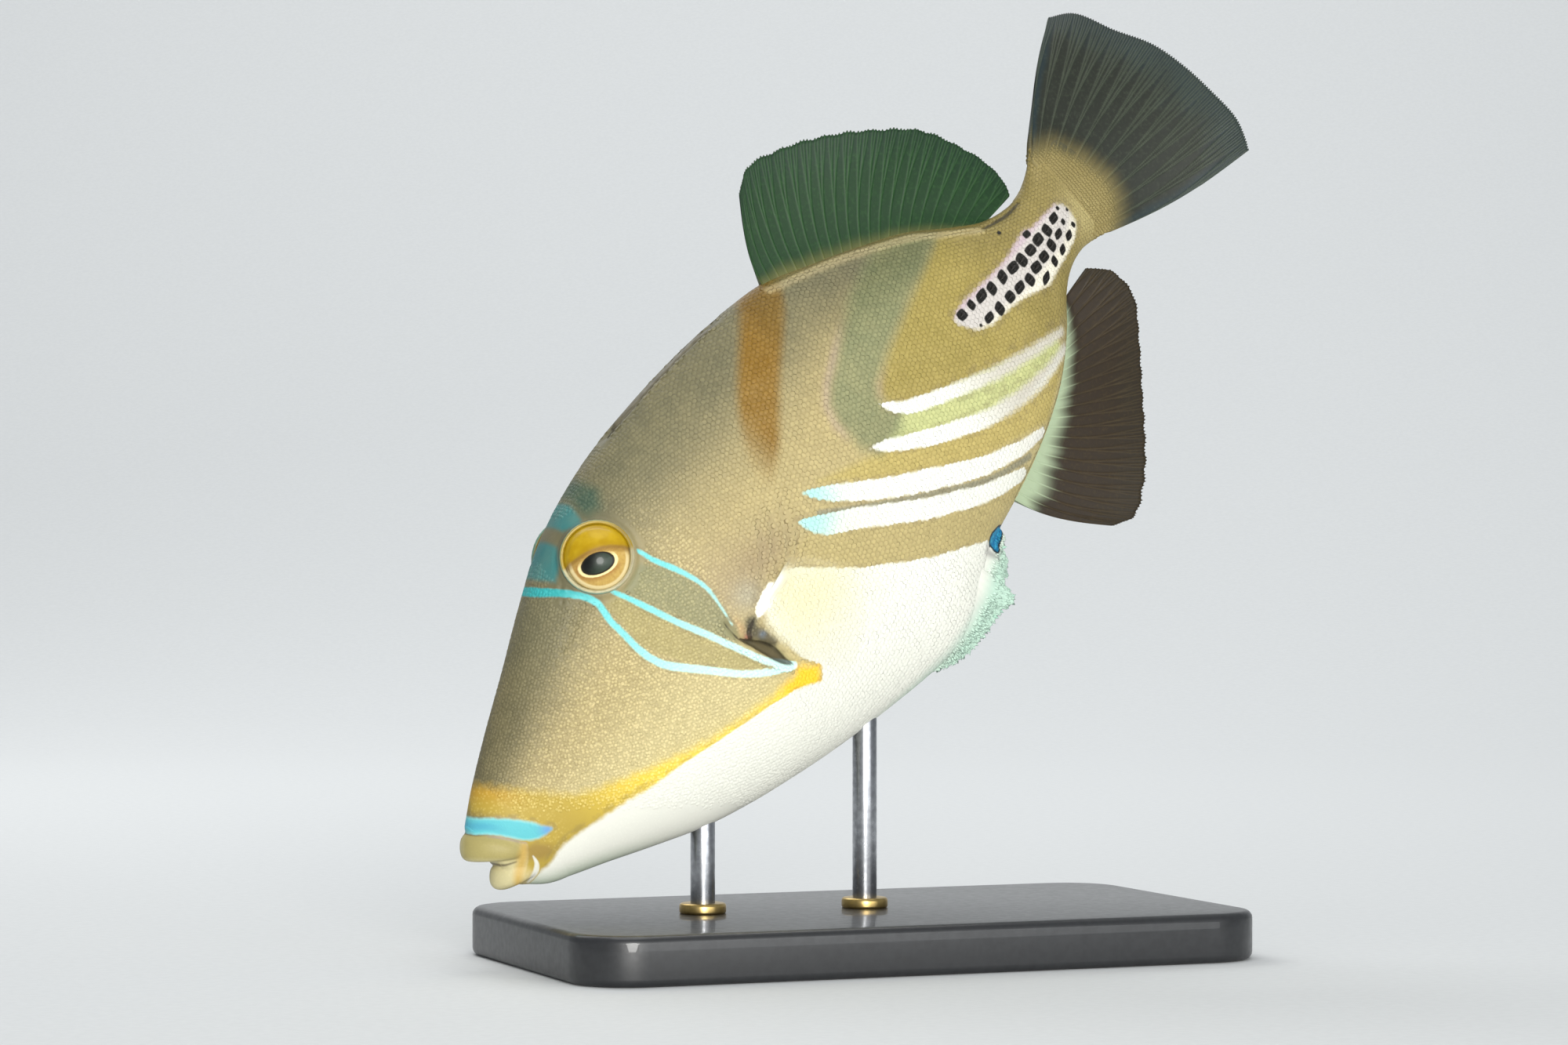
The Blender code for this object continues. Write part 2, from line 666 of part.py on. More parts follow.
def make_pectoral(name, side, clearance, parent):
    """A half spread pectoral fin, rooted in the flank just behind the gill slit."""
    upper, lower = (Vector(place) for place in PECTORAL_ROOT)
    start, end = PECTORAL_SPREAD
    length = curve(list(zip((0, 0.35, 1), PECTORAL_LENGTHS)))

    def point(across, out):
        u, v = upper.lerp(lower, across)
        root = Vector((u, side * (flank(u, v) - PECTORAL_SINK), v))
        turn = math.radians(start + (end - start) * across)
        curl = PECTORAL_FLARE * (1 - PECTORAL_CURL * out)
        way = Vector((math.cos(turn) * math.cos(curl), side * math.sin(curl), math.sin(turn) * math.cos(curl)))
        return root + way * (length(across) + PECTORAL_SINK) * out

    thickness = footed(FIN_HALF_THICKNESS, PECTORAL_FOOT)
    fin = rayed_sheet(name, point, ray_columns(PECTORAL_RAYS), FIN_ROWS, thickness, PECTORAL_NOTCH, parent)
    cut(fin, clearance)
    paint(fin, FIN_GREY, 0.35)
    return fin


def make_belly_flap(clearance, parent):
    """The pelvic flap, a keel that thins to a ragged edge behind the pelvic spine."""
    draw = random.Random(7)
    margin = path(FLAP_MARGIN)
    low, high = FLAP_ROOT
    columns = []
    for i in range(FLAP_COLUMNS):
        ragged = draw.uniform(0.2, 1)
        columns.append((i / (FLAP_COLUMNS - 1), ragged, ragged))

    def point(across, out):
        u = low + (high - low) * across
        root = Vector((u, belly(u) + FLAP_SINK))
        flat = root.lerp(margin(across), out)
        return Vector((flat.x, 0, flat.y))

    def thickness(out):
        return FLAP_EDGE + FLAP_FOOT * (1 - out) ** 1.3

    def ripple(out):
        return FLAP_RIPPLE * out * (1 - out)

    flap = rayed_sheet("belly_flap", point, columns, FLAP_ROWS, thickness, FLAP_NOTCH, parent, ripple)
    cut(flap, clearance)
    paint(flap, BELLY_WHITE, 0.5)
    return flap


def make_base():
    """The stand's flat base: round corners, and an eased edge round its top."""
    build = bmesh.new()
    bmesh.ops.create_cube(build, size=1)
    build.transform(Matrix.Diagonal((BASE_LENGTH * MM, BASE_WIDTH * MM, BASE_HEIGHT * MM, 1)))
    build.transform(Matrix.Translation((0, 0, BASE_HEIGHT * MM / 2)))
    upright = [edge for edge in build.edges if abs(edge.verts[0].co.z - edge.verts[1].co.z) > 1e-6]
    bmesh.ops.bevel(build, geom=upright, offset=BASE_CORNER * MM, segments=6, profile=0.5, affect="EDGES")
    top = max(build.faces, key=lambda face: face.calc_center_median().z)
    bmesh.ops.bevel(build, geom=top.edges[:], offset=BASE_EDGE * MM, segments=3, profile=0.5, affect="EDGES")
    mesh = bpy.data.meshes.new("stand_base")
    build.to_mesh(mesh)
    build.free()
    base = bpy.data.objects.new("stand_base", mesh)
    bpy.context.scene.collection.objects.link(base)
    paint(base, STAND_BLACK, 0.35)
    return base


def make_rod(name, x, clearance):
    """A rod from just over the base up to the belly, its top shaped to the belly's underside."""
    build = bmesh.new()
    bottom, top = BASE_HEIGHT + GAP, LIP_Z + 40
    bmesh.ops.create_cone(build, cap_ends=True, segments=ROD_SIDES, radius1=ROD_RADIUS * MM,
                          radius2=ROD_RADIUS * MM, depth=(top - bottom) * MM)
    mesh = bpy.data.meshes.new(name)
    build.to_mesh(mesh)
    build.free()
    rod = bpy.data.objects.new(name, mesh)
    rod.location = (x * MM, 0, (bottom + top) / 2 * MM)
    bpy.context.scene.collection.objects.link(rod)
    cut(rod, clearance)
    keep_lowest(rod)
    paint(rod, ROD_STEEL, 0.25, 1.0)
    return rod


def keep_lowest(item):
    """Of a rod that the body cuts in two, keeps the length below it."""
    build = bmesh.new()
    build.from_mesh(item.data)
    start = min(build.verts, key=lambda point: point.co.z)
    kept, todo = {start}, [start]
    while todo:
        for edge in todo.pop().link_edges:
            for point in edge.verts:
                if point not in kept:
                    kept.add(point)
                    todo.append(point)
    bmesh.ops.delete(build, geom=[point for point in build.verts if point not in kept], context="VERTS")
    build.to_mesh(item.data)
    build.free()


def make_fish():
    axis = bpy.data.objects.new("fish_axis", None)
    axis.location = (LIP_X * MM, 0, LIP_Z * MM)
    axis.rotation_euler = (0, -PITCH, 0)
    bpy.context.scene.collection.objects.link(axis)
    bpy.context.view_layer.update()
    body = as_cutter(whole_body("body_guide", axis))
    clearance = as_cutter(swell(copy_of(body, "body_clearance"), GAP))
    eyes = [make_eye("eye_left", -1, axis), make_eye("eye_right", 1, axis)]
    make_head(body, eyes, axis)
    make_torso(body, axis)
    make_tail_stalk(body, axis)
    for name, (corner, front, height, depth) in (("upper_lip", UPPER_LIP), ("lower_lip", LOWER_LIP)):
        cut(make_lip(name, corner, front, height, depth, axis), clearance)
    make_folded_spines(axis)
    fin_on_edge("dorsal_fin", DORSAL_ROOT, back, DORSAL_MARGIN, DORSAL_RAYS, DORSAL_BOW, DORSAL_SWAY,
                clearance, axis)
    fin_on_edge("anal_fin", ANAL_ROOT, belly, ANAL_MARGIN, ANAL_RAYS, ANAL_BOW, ANAL_SWAY,
                clearance, axis)
    make_tail_fin(axis)
    make_pectoral("pectoral_fin_left", -1, clearance, axis)
    make_pectoral("pectoral_fin_right", 1, clearance, axis)
    make_belly_flap(clearance, axis)
    return clearance


def main():
    for item in list(bpy.data.objects):
        bpy.data.objects.remove(item)
    clearance = make_fish()
    make_base()
    for name, x in ROD_PLACES.items():
        make_rod(name, x, clearance)


main()
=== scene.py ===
"""The looks of a picasso triggerfish model on its stand: one skin with its markings, its scales,
rayed fins, lips and eyes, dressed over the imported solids.

Places on the fish are in millimetres along its own axes: u runs back from the upper lip, y to the
side (its left side is negative) and v up towards the soft dorsal fin. world() turns them into the
frame's metres.
"""
import math

import bpy
import numpy as np
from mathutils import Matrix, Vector

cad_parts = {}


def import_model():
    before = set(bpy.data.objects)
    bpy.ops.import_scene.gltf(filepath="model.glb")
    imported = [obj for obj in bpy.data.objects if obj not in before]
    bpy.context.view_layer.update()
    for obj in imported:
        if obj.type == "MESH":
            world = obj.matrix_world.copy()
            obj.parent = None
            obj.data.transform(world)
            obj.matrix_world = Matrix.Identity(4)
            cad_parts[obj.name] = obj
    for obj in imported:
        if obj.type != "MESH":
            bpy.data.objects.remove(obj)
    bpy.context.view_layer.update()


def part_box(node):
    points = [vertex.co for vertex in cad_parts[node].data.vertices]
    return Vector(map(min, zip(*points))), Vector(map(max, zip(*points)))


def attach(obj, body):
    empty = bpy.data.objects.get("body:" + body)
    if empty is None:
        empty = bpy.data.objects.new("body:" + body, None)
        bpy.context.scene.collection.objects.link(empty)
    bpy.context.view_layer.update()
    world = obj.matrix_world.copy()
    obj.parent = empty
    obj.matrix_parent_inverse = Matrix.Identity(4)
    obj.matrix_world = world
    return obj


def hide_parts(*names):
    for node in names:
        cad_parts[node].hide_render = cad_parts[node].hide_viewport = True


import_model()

MM = 0.001
SIDES = {"left": -1, "right": 1}
draw = np.random.default_rng(23)

# The pose of the fish's axis, as in the solids.
PITCH = math.radians(44.3)
LIP_X = -68.3
LIP_Z = 20.2

# The body's profiles, as (u, value): back, belly, half width, level of the widest place, fullness.
BODY_END = 150.0
BACK = [(2.4, 2.2), (6, 4.7), (14, 9.6), (24, 15.2), (33, 20.3), (42, 24.9), (50, 27.7), (58, 29.5),
        (68, 30.5), (80, 30.9), (92, 30.2), (100, 28.8), (108, 25.4), (116, 21.8), (124, 17.6),
        (130, 13.0), (135, 9.6), (140, 8.1), (144, 8.4), (147, 9.9), (150, 12.2)]
BELLY = [(2.4, -11.6), (5, -14.2), (9, -16.4), (14, -18.9), (22, -23.1), (31, -27.5), (38, -30.0),
         (46, -32.3), (56, -34.7), (66, -36.5), (76, -37.9), (83, -38.4), (88, -37.0), (94, -33.2),
         (101, -29.7), (107, -28.0), (116, -25.1), (122.5, -22.3), (128.5, -18.8), (133.5, -14.6),
         (137.5, -10.1), (141, -7.6), (145, -6.5), (150, -7.3)]
HALF_WIDTH = [(2.4, 3.9), (6, 5.2), (14, 6.8), (24, 8.4), (34, 9.8), (46, 11.5), (58, 12.9),
              (70, 13.2), (84, 12.6), (98, 11.2), (110, 9.6), (122, 7.7), (132, 6.1), (139, 5.1),
              (144, 4.2), (147.5, 2.8), (150, 1.5)]
WIDEST_LEVEL = [(2.4, -4.6), (14, -5.0), (30, -5.5), (46, -4.0), (60, -1.0), (80, 0.0), (100, 0.5),
                (120, -0.8), (140, 0.2), (150, 1.4)]
FULL_ABOVE = [(2.4, 2.0), (20, 2.1), (40, 2.45), (50, 2.3), (66, 2.0), (100, 1.9), (150, 2.0)]
FULL_BELOW = [(2.4, 2.1), (24, 2.0), (50, 1.85), (80, 1.65), (104, 1.8), (130, 2.0), (150, 2.0)]

# The skin's mesh: runs of stations as (start, end, count), the points round each, and how far the
# skin lies below the body's form, so that the scales' faces come out on it.
STATION_RUNS = [(2.4, 12, 24), (12, 34, 36), (34, 60, 68), (60, 117, 71), (117, 148, 86), (148, 150, 4)]
RING = 320
COAT_DEPTH = 0.12
# Where the snout's end closes, and its rings there as (step along, share of the first ring's size).
SNOUT_CENTRE = np.array([2.4, 0, -4.6])
SNOUT_RINGS = [(-1.0, 0.3), (-0.9, 0.75), (-0.5, 0.93), (-0.15, 0.99)]

# Eyes and gill slit.
EYE_U, EYE_V = 45.6, 19.3
EYE_AXIS = np.array([-0.14, 0.92, 0.36]) / np.linalg.norm([-0.14, 0.92, 0.36])
EYE_RADIUS, EYE_DEPTH, EYE_SINK = 5.6, 3.8, 1.5
RIM_RADIUS, RIM_WIDTH, RIM_DEPTH = 5.62, 0.34, 0.36
# The skin's ridges round an eye, as (height, distance from its middle, width).
SOCKET_RINGS = [(0.38, 6.05, 0.42), (-0.14, 6.75, 0.2), (0.05, 7.3, 0.4)]
MOUND_REACH, MOUND_RISE = 10.5, 0.7
NOSTRILS = [(38.4, 19.4, 0.5), (37.0, 17.7, 0.42)]
SLIT = [(52.9, -2.3, 0.04), (52.6, -4.7, 0.08), (53.0, -6.6, 0.16), (53.9, -8.2, 0.45), (54.8, -9.9, 0.8),
        (55.4, -11.4, 0.92), (55.8, -13.0, 0.8), (56.2, -14.6, 0.48), (57.0, -16.2, 0.1)]
SLIT_NOTCH = [(56.8, -5.5, 0.06), (55.8, -5.9, 0.28), (54.8, -6.4, 0.36), (54.2, -7.4, 0.3)]
PECTORAL_STREAK = [(57.1, -5.9), (57.7, -4.9), (58.6, -4.2), (60.2, -3.5), (62.4, -3.0), (64.4, -4.2),
                   (63.2, -4.9), (60.5, -5.7), (58.5, -6.1)]

# Markings, as centre lines of (u, v, half width) or as outlines of (u, v). Distances to them stop at FAR.
FAR = 9.0
EYE_STRIPE = [(34.6, 22.4, 0.75), (35.6, 21.2, 0.75), (37.6, 19.1, 0.62), (39.9, 15.9, 0.55),
              (40.5, 14.3, 0.52), (40.0, 11.0, 0.5), (40.0, 7.3, 0.52), (40.1, 3.4, 0.56),
              (41.2, -0.3, 0.62), (43.0, -2.8, 0.64), (45.8, -6.2, 0.6), (49.1, -10.3, 0.56),
              (52.9, -13.8, 0.6), (56.9, -16.2, 0.6)]
CHEEK_STRIPE = [(43.3, 13.9, 0.3), (44.4, 11.4, 0.42), (45.3, 8.9, 0.48), (47.4, 3.0, 0.5),
                (49.4, -1.6, 0.52), (51.7, -7.3, 0.52), (54.0, -12.4, 0.55), (56.8, -16.2, 0.6)]
SHOULDER_STRIPE = [(50.8, 15.6, 0.3), (51.7, 12.4, 0.42), (53.1, 9.1, 0.44), (54.0, 6.3, 0.38),
                   (54.5, 3.5, 0.3), (54.1, 0.0, 0.18), (53.5, -3.6, 0.08)]
MOUTH_MOTTLE = [(5.6, -5.9), (7.6, -6.9), (9.2, -9.0), (8.4, -10.0), (6.6, -9.6), (5.0, -8.0)]
STRIPE_1 = [(96.9, 3.7, 0.15), (98.2, 1.8, 0.8), (99.9, 0.1, 1.1), (104.2, -2.4, 1.2), (108.8, -4.6, 1.15),
            (113.6, -6.8, 1.1), (117.3, -8.3, 1.05), (121.3, -9.6, 1.0), (125.8, -11.0, 0.9),
            (131.5, -12.6, 0.7)]
STRIPE_2 = [(90.6, -0.3, 0.15), (92.6, -1.7, 0.85), (95.8, -4.0, 1.2), (99.9, -6.7, 1.35),
            (104.3, -9.2, 1.4), (111.4, -12.7, 1.4), (115.3, -13.9, 1.35), (119.8, -14.9, 1.25),
            (124.4, -15.4, 1.1), (130.5, -15.4, 0.8)]
STRIPE_3 = [(76.9, 2.9, 0.2), (78.5, 1.3, 0.9), (80.2, -0.3, 1.25), (84.0, -3.5, 1.55), (88.0, -6.7, 1.7),
            (95.6, -12.0, 1.8), (100.0, -14.9, 1.7), (104.3, -17.5, 1.6), (108.0, -19.2, 1.5),
            (112.0, -20.9, 1.3), (117.5, -22.4, 0.9)]
STRIPE_4 = [(73.2, 0.2, 0.35), (74.2, -1.3, 1.1), (75.4, -2.7, 1.5), (80.4, -6.3, 1.7), (86.2, -10.7, 1.75),
            (92.0, -15.1, 1.75), (96.4, -17.9, 1.7), (100.9, -20.8, 1.6), (105.0, -22.8, 1.45),
            (110.0, -24.8, 1.1)]
BELLY_PATCH = [(3.4, -11.6), (5.0, -11.1), (6.6, -11.2), (8.6, -10.7), (10.6, -10.4), (12.8, -10.7),
               (17.0, -11.4), (22.4, -12.5), (26.3, -13.6), (32.3, -14.5), (37.7, -15.7), (43.7, -17.0),
               (49.5, -18.2), (54.2, -19.4), (56.6, -20.5), (59.0, -22.0), (60.6, -19.8), (58.6, -16.0),
               (58.0, -12.0), (57.7, -9.7), (58.2, -6.9), (60.0, -5.0), (62.6, -3.9), (65.0, -3.5),
               (66.8, -3.9), (69.0, -6.0), (73.0, -10.1), (76.5, -13.4), (80.0, -16.1), (83.4, -18.8),
               (86.9, -21.3), (90.9, -23.8), (95.0, -26.4), (97.6, -28.1), (98.6, -31.5), (103.0, -34.0),
               (104.0, -60.0), (-12.0, -60.0), (-12.0, -13.0), (1.2, -12.6)]
YELLOW_BAND = [(7.5, 6.6), (10.8, 2.7), (13.8, -1.1), (17.0, -5.1), (20.1, -7.0), (24.0, -8.7),
               (28.8, -11.0), (33.5, -12.9), (38.8, -14.7), (44.5, -16.0), (50.4, -17.0), (55.7, -17.3),
               (57.3, -16.4), (60.6, -19.4), (59.0, -22.4), (50.0, -20.5), (40.0, -18.0), (25.0, -15.0),
               (10.0, -12.6), (5.0, -12.4), (3.2, -9.4), (5.0, -5.0), (8.0, -3.0), (3.8, 3.0), (5.0, 7.0)]
LIP_STRIPE = [(2.2, 3.6, 1.0), (2.4, 2.2, 1.27), (4.4, 0.0, 1.3), (6.5, -2.5, 1.48), (7.9, -4.5, 1.48),
              (9.3, -5.9, 1.0), (10.7, -6.8, 0.3)]
SPOT_PATCH = [(117.2, 3.6), (118.6, 4.2), (121.6, 4.2), (125.9, 3.9), (128.9, 3.6), (132.3, 3.6),
              (136.1, 4.1), (137.9, 4.4), (139.5, 3.7), (143.4, 3.6), (145.5, 3.4), (147.0, 2.4),
              (147.3, 0.8), (147.0, -1.2), (146.1, -2.4), (144.3, -3.5), (141.5, -4.2), (138.8, -4.6),
              (135.2, -5.2), (133.1, -4.5), (131.1, -3.7), (128.7, -2.9), (125.9, -2.5), (121.8, -2.0),
              (119.1, -0.7), (118.0, 1.0), (117.2, 2.4)]
ORANGE_BAND = [(99.0, 30.5, 2.9), (96.5, 28.2, 3.0), (91.5, 24.8, 3.2), (86.0, 21.0, 3.3),
               (81.5, 17.3, 3.3), (77.6, 13.4, 2.9), (74.0, 9.8, 1.8)]
GREY_BAND = [(121.5, 20.6), (113.1, 19.5), (106.7, 18.3), (98.9, 14.6), (92.9, 11.6), (90.5, 9.6),
             (89.4, 6.7), (89.3, 1.1), (91.1, -2.2), (96.5, -2.2), (99.5, -0.2), (97.5, 2.9), (97.8, 4.7),
             (99.2, 6.3), (105.2, 8.6), (114.2, 11.3), (120.3, 12.9), (126.5, 14.6)]
GOLD_REAR = [(97.8, 3.4), (98.2, 5.0), (99.8, 6.4), (105.4, 8.6), (114.2, 11.3), (120.3, 12.9),
             (126.0, 14.4), (134.0, 10.6), (140.0, 9.0), (152.0, 16.0), (152.0, -12.0), (140.0, -9.0),
             (130.0, -12.5), (117.3, -8.3), (104.2, -2.4), (99.0, 0.6)]
BROWN_BAND = [(68.0, -1.0), (73.0, -2.4), (80.4, -8.0), (92.0, -16.8), (101.0, -22.2), (110.0, -25.8),
              (104.0, -30.0), (97.6, -28.1), (86.9, -21.3), (76.5, -13.4)]
VENT = [(97.6, -29.2), (98.1, -28.3), (99.7, -27.9), (101.5, -28.4), (102.2, -29.2), (101.3, -30.0),
        (99.6, -31.0), (98.5, -31.8), (97.9, -31.3)]
SHEATH_LINE = [(98.4, 28.0, 0.3), (105.9, 25.2, 0.3), (112.9, 22.2, 0.3), (118.3, 19.4, 0.3),
               (122.9, 16.9, 0.3), (127.0, 13.7, 0.3), (133.0, 9.2, 0.3)]
SKIN_FOLDS = [[(73.4, 5.6, 0.02), (71.8, 2.8, 0.06), (70.0, 0.2, 0.09), (68.4, -1.6, 0.09),
               (67.2, -3.1, 0.04)],
              [(73.2, 1.6, 0.02), (71.3, -1.1, 0.07), (69.8, -2.3, 0.08), (68.0, -3.6, 0.04)],
              [(70.3, 5.1, 0.02), (68.2, 2.0, 0.06), (66.4, 0.1, 0.07), (65.6, -1.4, 0.06),
               (64.6, -2.7, 0.03)],
              [(68.0, 5.6, 0.02), (65.9, 2.6, 0.05), (63.6, 0.2, 0.05), (62.2, -1.4, 0.02)]]
TEAL_BARS = [[(49.3, 28.3), (49.4, 26.9), (48.5, 24.7), (47.7, 23.9), (46.6, 24.6), (45.4, 25.2),
              (45.2, 26.3), (44.6, 28.6)],
             [(41.0, 27.0), (42.8, 25.6), (42.9, 24.0), (41.0, 22.0), (38.6, 20.6), (37.2, 22.3),
              (37.0, 25.0)]]
CROWN = [(49.7, 31), (50.0, 27.7), (49.3, 25.6), (49.6, 24.2), (52.0, 24.0), (54.0, 26.0), (53.0, 31)]
BETWEEN_1_2 = [(92, -2), (99, 0.5), (130, -12.5), (130, -15.5), (111, -12.5), (97, -4.6)]
BETWEEN_2_3 = [(80, 2.5), (92, -2), (111, -13.5), (130, -16), (120, -22), (104, -16), (88, -5)]
BETWEEN_3_4 = [(76.5, -1.2, 0.5), (84, -6.9, 0.6), (95, -14.5, 0.6), (104, -20.2, 0.6), (113, -23.6, 0.6)]
# A line of painted shadow that joins the slit's notch to the gill slit.
SLIT_PAINTED_SHADE = [(55.9, -5.2, 0.2), (55.5, -6.6, 0.45), (55.9, -8.3, 0.55), (56.5, -10.6, 0.45)]
# Fine creases on the cream behind the slit, painted as darker lines of shade.
CREAM_FOLDS = [[(58.2, -6.4, 0.03), (60.8, -5.9, 0.05), (65.0, -4.6, 0.03)],
               [(60.0, -7.6, 0.03), (63.0, -6.8, 0.05), (67.0, -5.4, 0.03)]]
STRIPE_FRONTS = [(77.3, 2.2), (74.2, -1.3)]
VENT_WISP = [(97.3, -28.4, 0.1), (96.6, -29.8, 0.5), (97.2, -31.4, 0.4), (97.6, -32.6, 0.2)]
NOSE_RIDGE = [(41.0, 17.0, 0.1), (36.5, 14.6, 0.4), (31.5, 12.4, 0.1)]
# Creases along the anal fin's foot and behind the dorsal fin's end, sunk a little and painted dark as shade.
CREASES = [[(107.0, -27.4, 0.05), (116.0, -24.5, 0.12), (122.5, -21.7, 0.14), (128.5, -18.2, 0.14),
            (133.5, -14.0, 0.14), (136.8, -10.9, 0.06)],
           [(133.4, 9.3, 0.04), (136.5, 8.3, 0.14), (139.2, 7.7, 0.14), (141.8, 7.7, 0.04)]]
TINT_LINE = [(60.6, -36.1), (66.2, -36.0), (73.7, -36.6), (80.2, -36.6), (86.2, -35.6), (91.5, -34.2),
             (95.4, -32.0), (99.0, -30.5)]
SPOT_ROWS = [[(118.9, 3.0, 0.8, 0.78), (121.4, 2.9, 0.6, 0.74), (123.9, 2.6, 0.75, 1.04),
              (126.3, 2.1, 0.74, 0.94), (129.2, 2.0, 0.72, 0.98), (131.8, 1.7, 0.84, 0.9),
              (134.0, 1.4, 0.84, 0.94), (136.4, 1.4, 0.84, 0.84), (138.8, 1.6, 0.78, 0.94),
              (141.2, 1.5, 0.72, 0.88), (143.7, 2.0, 0.66, 0.84), (145.7, 2.5, 0.3, 0.3)],
             [(120.2, -0.6, 0.26, 0.26), (122.3, -0.8, 0.66, 0.84), (124.9, -1.2, 0.72, 0.94),
              (127.8, -1.2, 0.78, 0.88), (130.3, -1.4, 0.74, 0.94), (132.7, -1.9, 0.78, 0.88),
              (135.1, -1.3, 0.84, 0.88), (137.5, -1.1, 0.78, 0.88), (140.0, -0.8, 0.72, 0.88),
              (142.4, -0.4, 0.56, 0.78), (144.7, 0.3, 0.36, 0.48), (147.0, 1.0, 0.24, 0.28)],
             [(135.3, -3.9, 0.54, 0.98), (138.6, -3.1, 0.54, 0.78), (141.2, -2.9, 0.5, 0.78),
              (143.9, -2.1, 0.54, 0.78), (146.0, -1.5, 0.38, 0.42)]]
LONE_SPOTS = [(138.0, 3.6, 0.56, 0.56), (134.8, 7.0, 0.27, 0.27)]
SPOTS = [spot for row in (*SPOT_ROWS, LONE_SPOTS) for spot in row]
EYE_STRIPE_FIELD = [(41.0, 13.0), (40.8, 4.0), (43.5, -2.0), (49.5, -10.0), (55.5, -15.4), (53.0, -11.4),
                    (49.0, -1.8), (46.0, 6.8), (43.6, 13.0)]
SHOULDER_FIELD = [(44.4, 12.6), (46.4, 7.4), (49.6, -1.0), (52.2, -6.6), (54.0, -4.6), (54.4, 2.0),
                  (53.4, 7.0), (51.6, 11.4), (49.6, 14.0)]

# The scales' first and last row, where their front pieces end, their pitch along the body as
# (u, pitch), and how much of the map one unit of a scale's pattern takes.
SCALE_START, SCALE_END, SCALE_SPLIT = 4.5, 151.0, 62
SCALE_PITCH = [(4.0, 0.52), (14, 0.56), (40, 0.64), (56, 0.68), (70, 0.82), (112, 0.84), (140, 0.74),
               (151, 0.66)]
SCALE_ON_MAP = 0.003 / 1.13

# Fins, with how far their feet lie in the skin and the line that the tips follow as (u, v).
FIN_SINK, PECTORAL_SINK = 1.3, 1.4
DORSAL_RAYS, DORSAL_ROOT = 24, (98.6, 133.8)
DORSAL_MARGIN = [(106.8, 41.9), (110.8, 44.0), (117.4, 42.4), (125.2, 38.3), (132.0, 33.1), (137.4, 28.0),
                 (140.9, 21.6), (143.2, 14.8), (143.2, 10.6), (142.4, 8.7)]
ANAL_RAYS, ANAL_ROOT = 22, (106.6, 135.9)
ANAL_MARGIN = [(117.0, -43.5), (120.6, -45.1), (125.8, -42.7), (132.0, -37.7), (137.5, -32.0),
               (143.3, -24.7), (147.2, -17.8), (146.6, -12.4), (143.4, -8.9)]
TAIL_RAYS, TAIL_CENTRE = 12, (148.0, 1.0)
TAIL_ROOT = BODY_END - 1.6
TAIL_MARGIN = [(26.0, 22.2), (29.9, 19.7), (31.9, 12.9), (33.9, 7.0), (34.1, 1.6), (33.6, -4.4),
               (32.8, -10.2), (30.4, -15.0)]
TAIL_TWIST, TAIL_BOW = (5.0, 17.0), 3.0
# The small scales over the tail's foot: their rows' first and last place and step outwards,
# and how far apart they lie in a row.
FOOT_START, FOOT_END, FOOT_STEP, FOOT_PITCH = 0.02, 0.34, 0.0165, 0.52
TAIL_GOLD_EDGE = [(140.0, 16.0), (148.5, 13.4), (154.1, 10.4), (156.8, 5.2), (158.0, -0.6), (157.2, -4.6),
                  (154.5, -7.6), (150.0, -10.5), (140.0, -12.0)]
PECTORAL_RAYS, PECTORAL_ROOT = 13, ((58.2, -5.4), (57.6, -14.8))
PECTORAL_SPREAD, PECTORAL_LENGTHS, PECTORAL_FLARE = (20.0, -58.0), (9.0, 14.5, 9.0), math.radians(27)

# The belly flap: its root's first and last u, how far in the body it starts, its margin, and the
# bristles at its tip as (u, v, and how far each runs back and up).
FLAP_ROOT = (80.0, 101.0)
FLAP_RISE = 3.6
FLAP_MARGIN = [(76.6, -38.0), (79.6, -39.2), (83.6, -40.2), (87.9, -40.0), (91.3, -39.6), (93.1, -39.5),
               (95.2, -39.9), (96.0, -38.5), (95.3, -37.5), (93.9, -37.0), (95.7, -36.5), (96.9, -36.3),
               (98.0, -35.1), (99.4, -33.8), (99.8, -32.4), (101.6, -31.0)]
PELVIC_BRISTLES = [(94.2, -39.0, 0.9, -1.2), (94.9, -38.6, 1.3, -0.7), (93.4, -39.3, 0.5, -1.0),
                   (95.0, -38.0, 1.1, 0.1), (92.4, -39.2, 0.3, -0.9), (90.9, -39.2, 0.3, -0.7),
                   (98.0, -34.6, 0.7, -0.5), (100.0, -32.0, 0.6, -0.4)]

# Lips, in the level frame of the mouth: corner (back, out, up), front (back, up), half height and
# half depth. Then how far back the muzzle's own piece reaches, and the size of its voxels.
UPPER_LIP = ((8.0, 4.2, -0.9), (1.3, -0.4), 2.3, 1.85)
LOWER_LIP = ((10.6, 3.1, -4.1), (6.1, -5.3), 2.05, 1.75)
MUZZLE_END, MUZZLE_VOXEL = 11.0, 0.17

# The mouth's outlines and lines, as the photograph's side view shows them: the lips lie nearer the
# camera than the mid plane, so a place's own (u, v) moves by its y times LIP_LEAN first.
UPPER_LIP_OUTLINE = [(1.0, 1.6), (3.7, -1.2), (5.8, -4.1), (6.9, -6.0), (6.9, -7.4), (4.8, -8.2),
                     (2.9, -7.4), (-1.6, -3.1), (-3.0, -1.1), (-1.5, 1.0)]
LOWER_LIP_OUTLINE = [(-1.0, -5.0), (0.6, -5.2), (2.8, -7.2), (4.6, -8.4), (2.9, -9.2), (1.4, -11.4),
                     (-0.6, -11.2), (-2.4, -8.3)]
MOUTH_LINE = [(-2.0, -2.2, 0.1), (-0.7, -3.6, 0.12), (0.6, -4.95, 0.14), (2.9, -7.2, 0.12),
              (4.6, -8.15, 0.05)]
MOUTH_FOLD = [(7.4, -7.3, 0.55), (6.3, -8.2, 0.75), (4.8, -9.1, 0.8), (3.3, -10.0, 0.75),
              (2.1, -11.0, 0.5)]
MOUTH_CRESCENT = [(7.3, -9.5, 0.12), (6.9, -10.7, 0.34), (6.0, -11.5, 0.42), (4.8, -11.8, 0.3),
                  (3.4, -11.9, 0.12)]
LIP_LEAN = math.tan(math.radians(22))

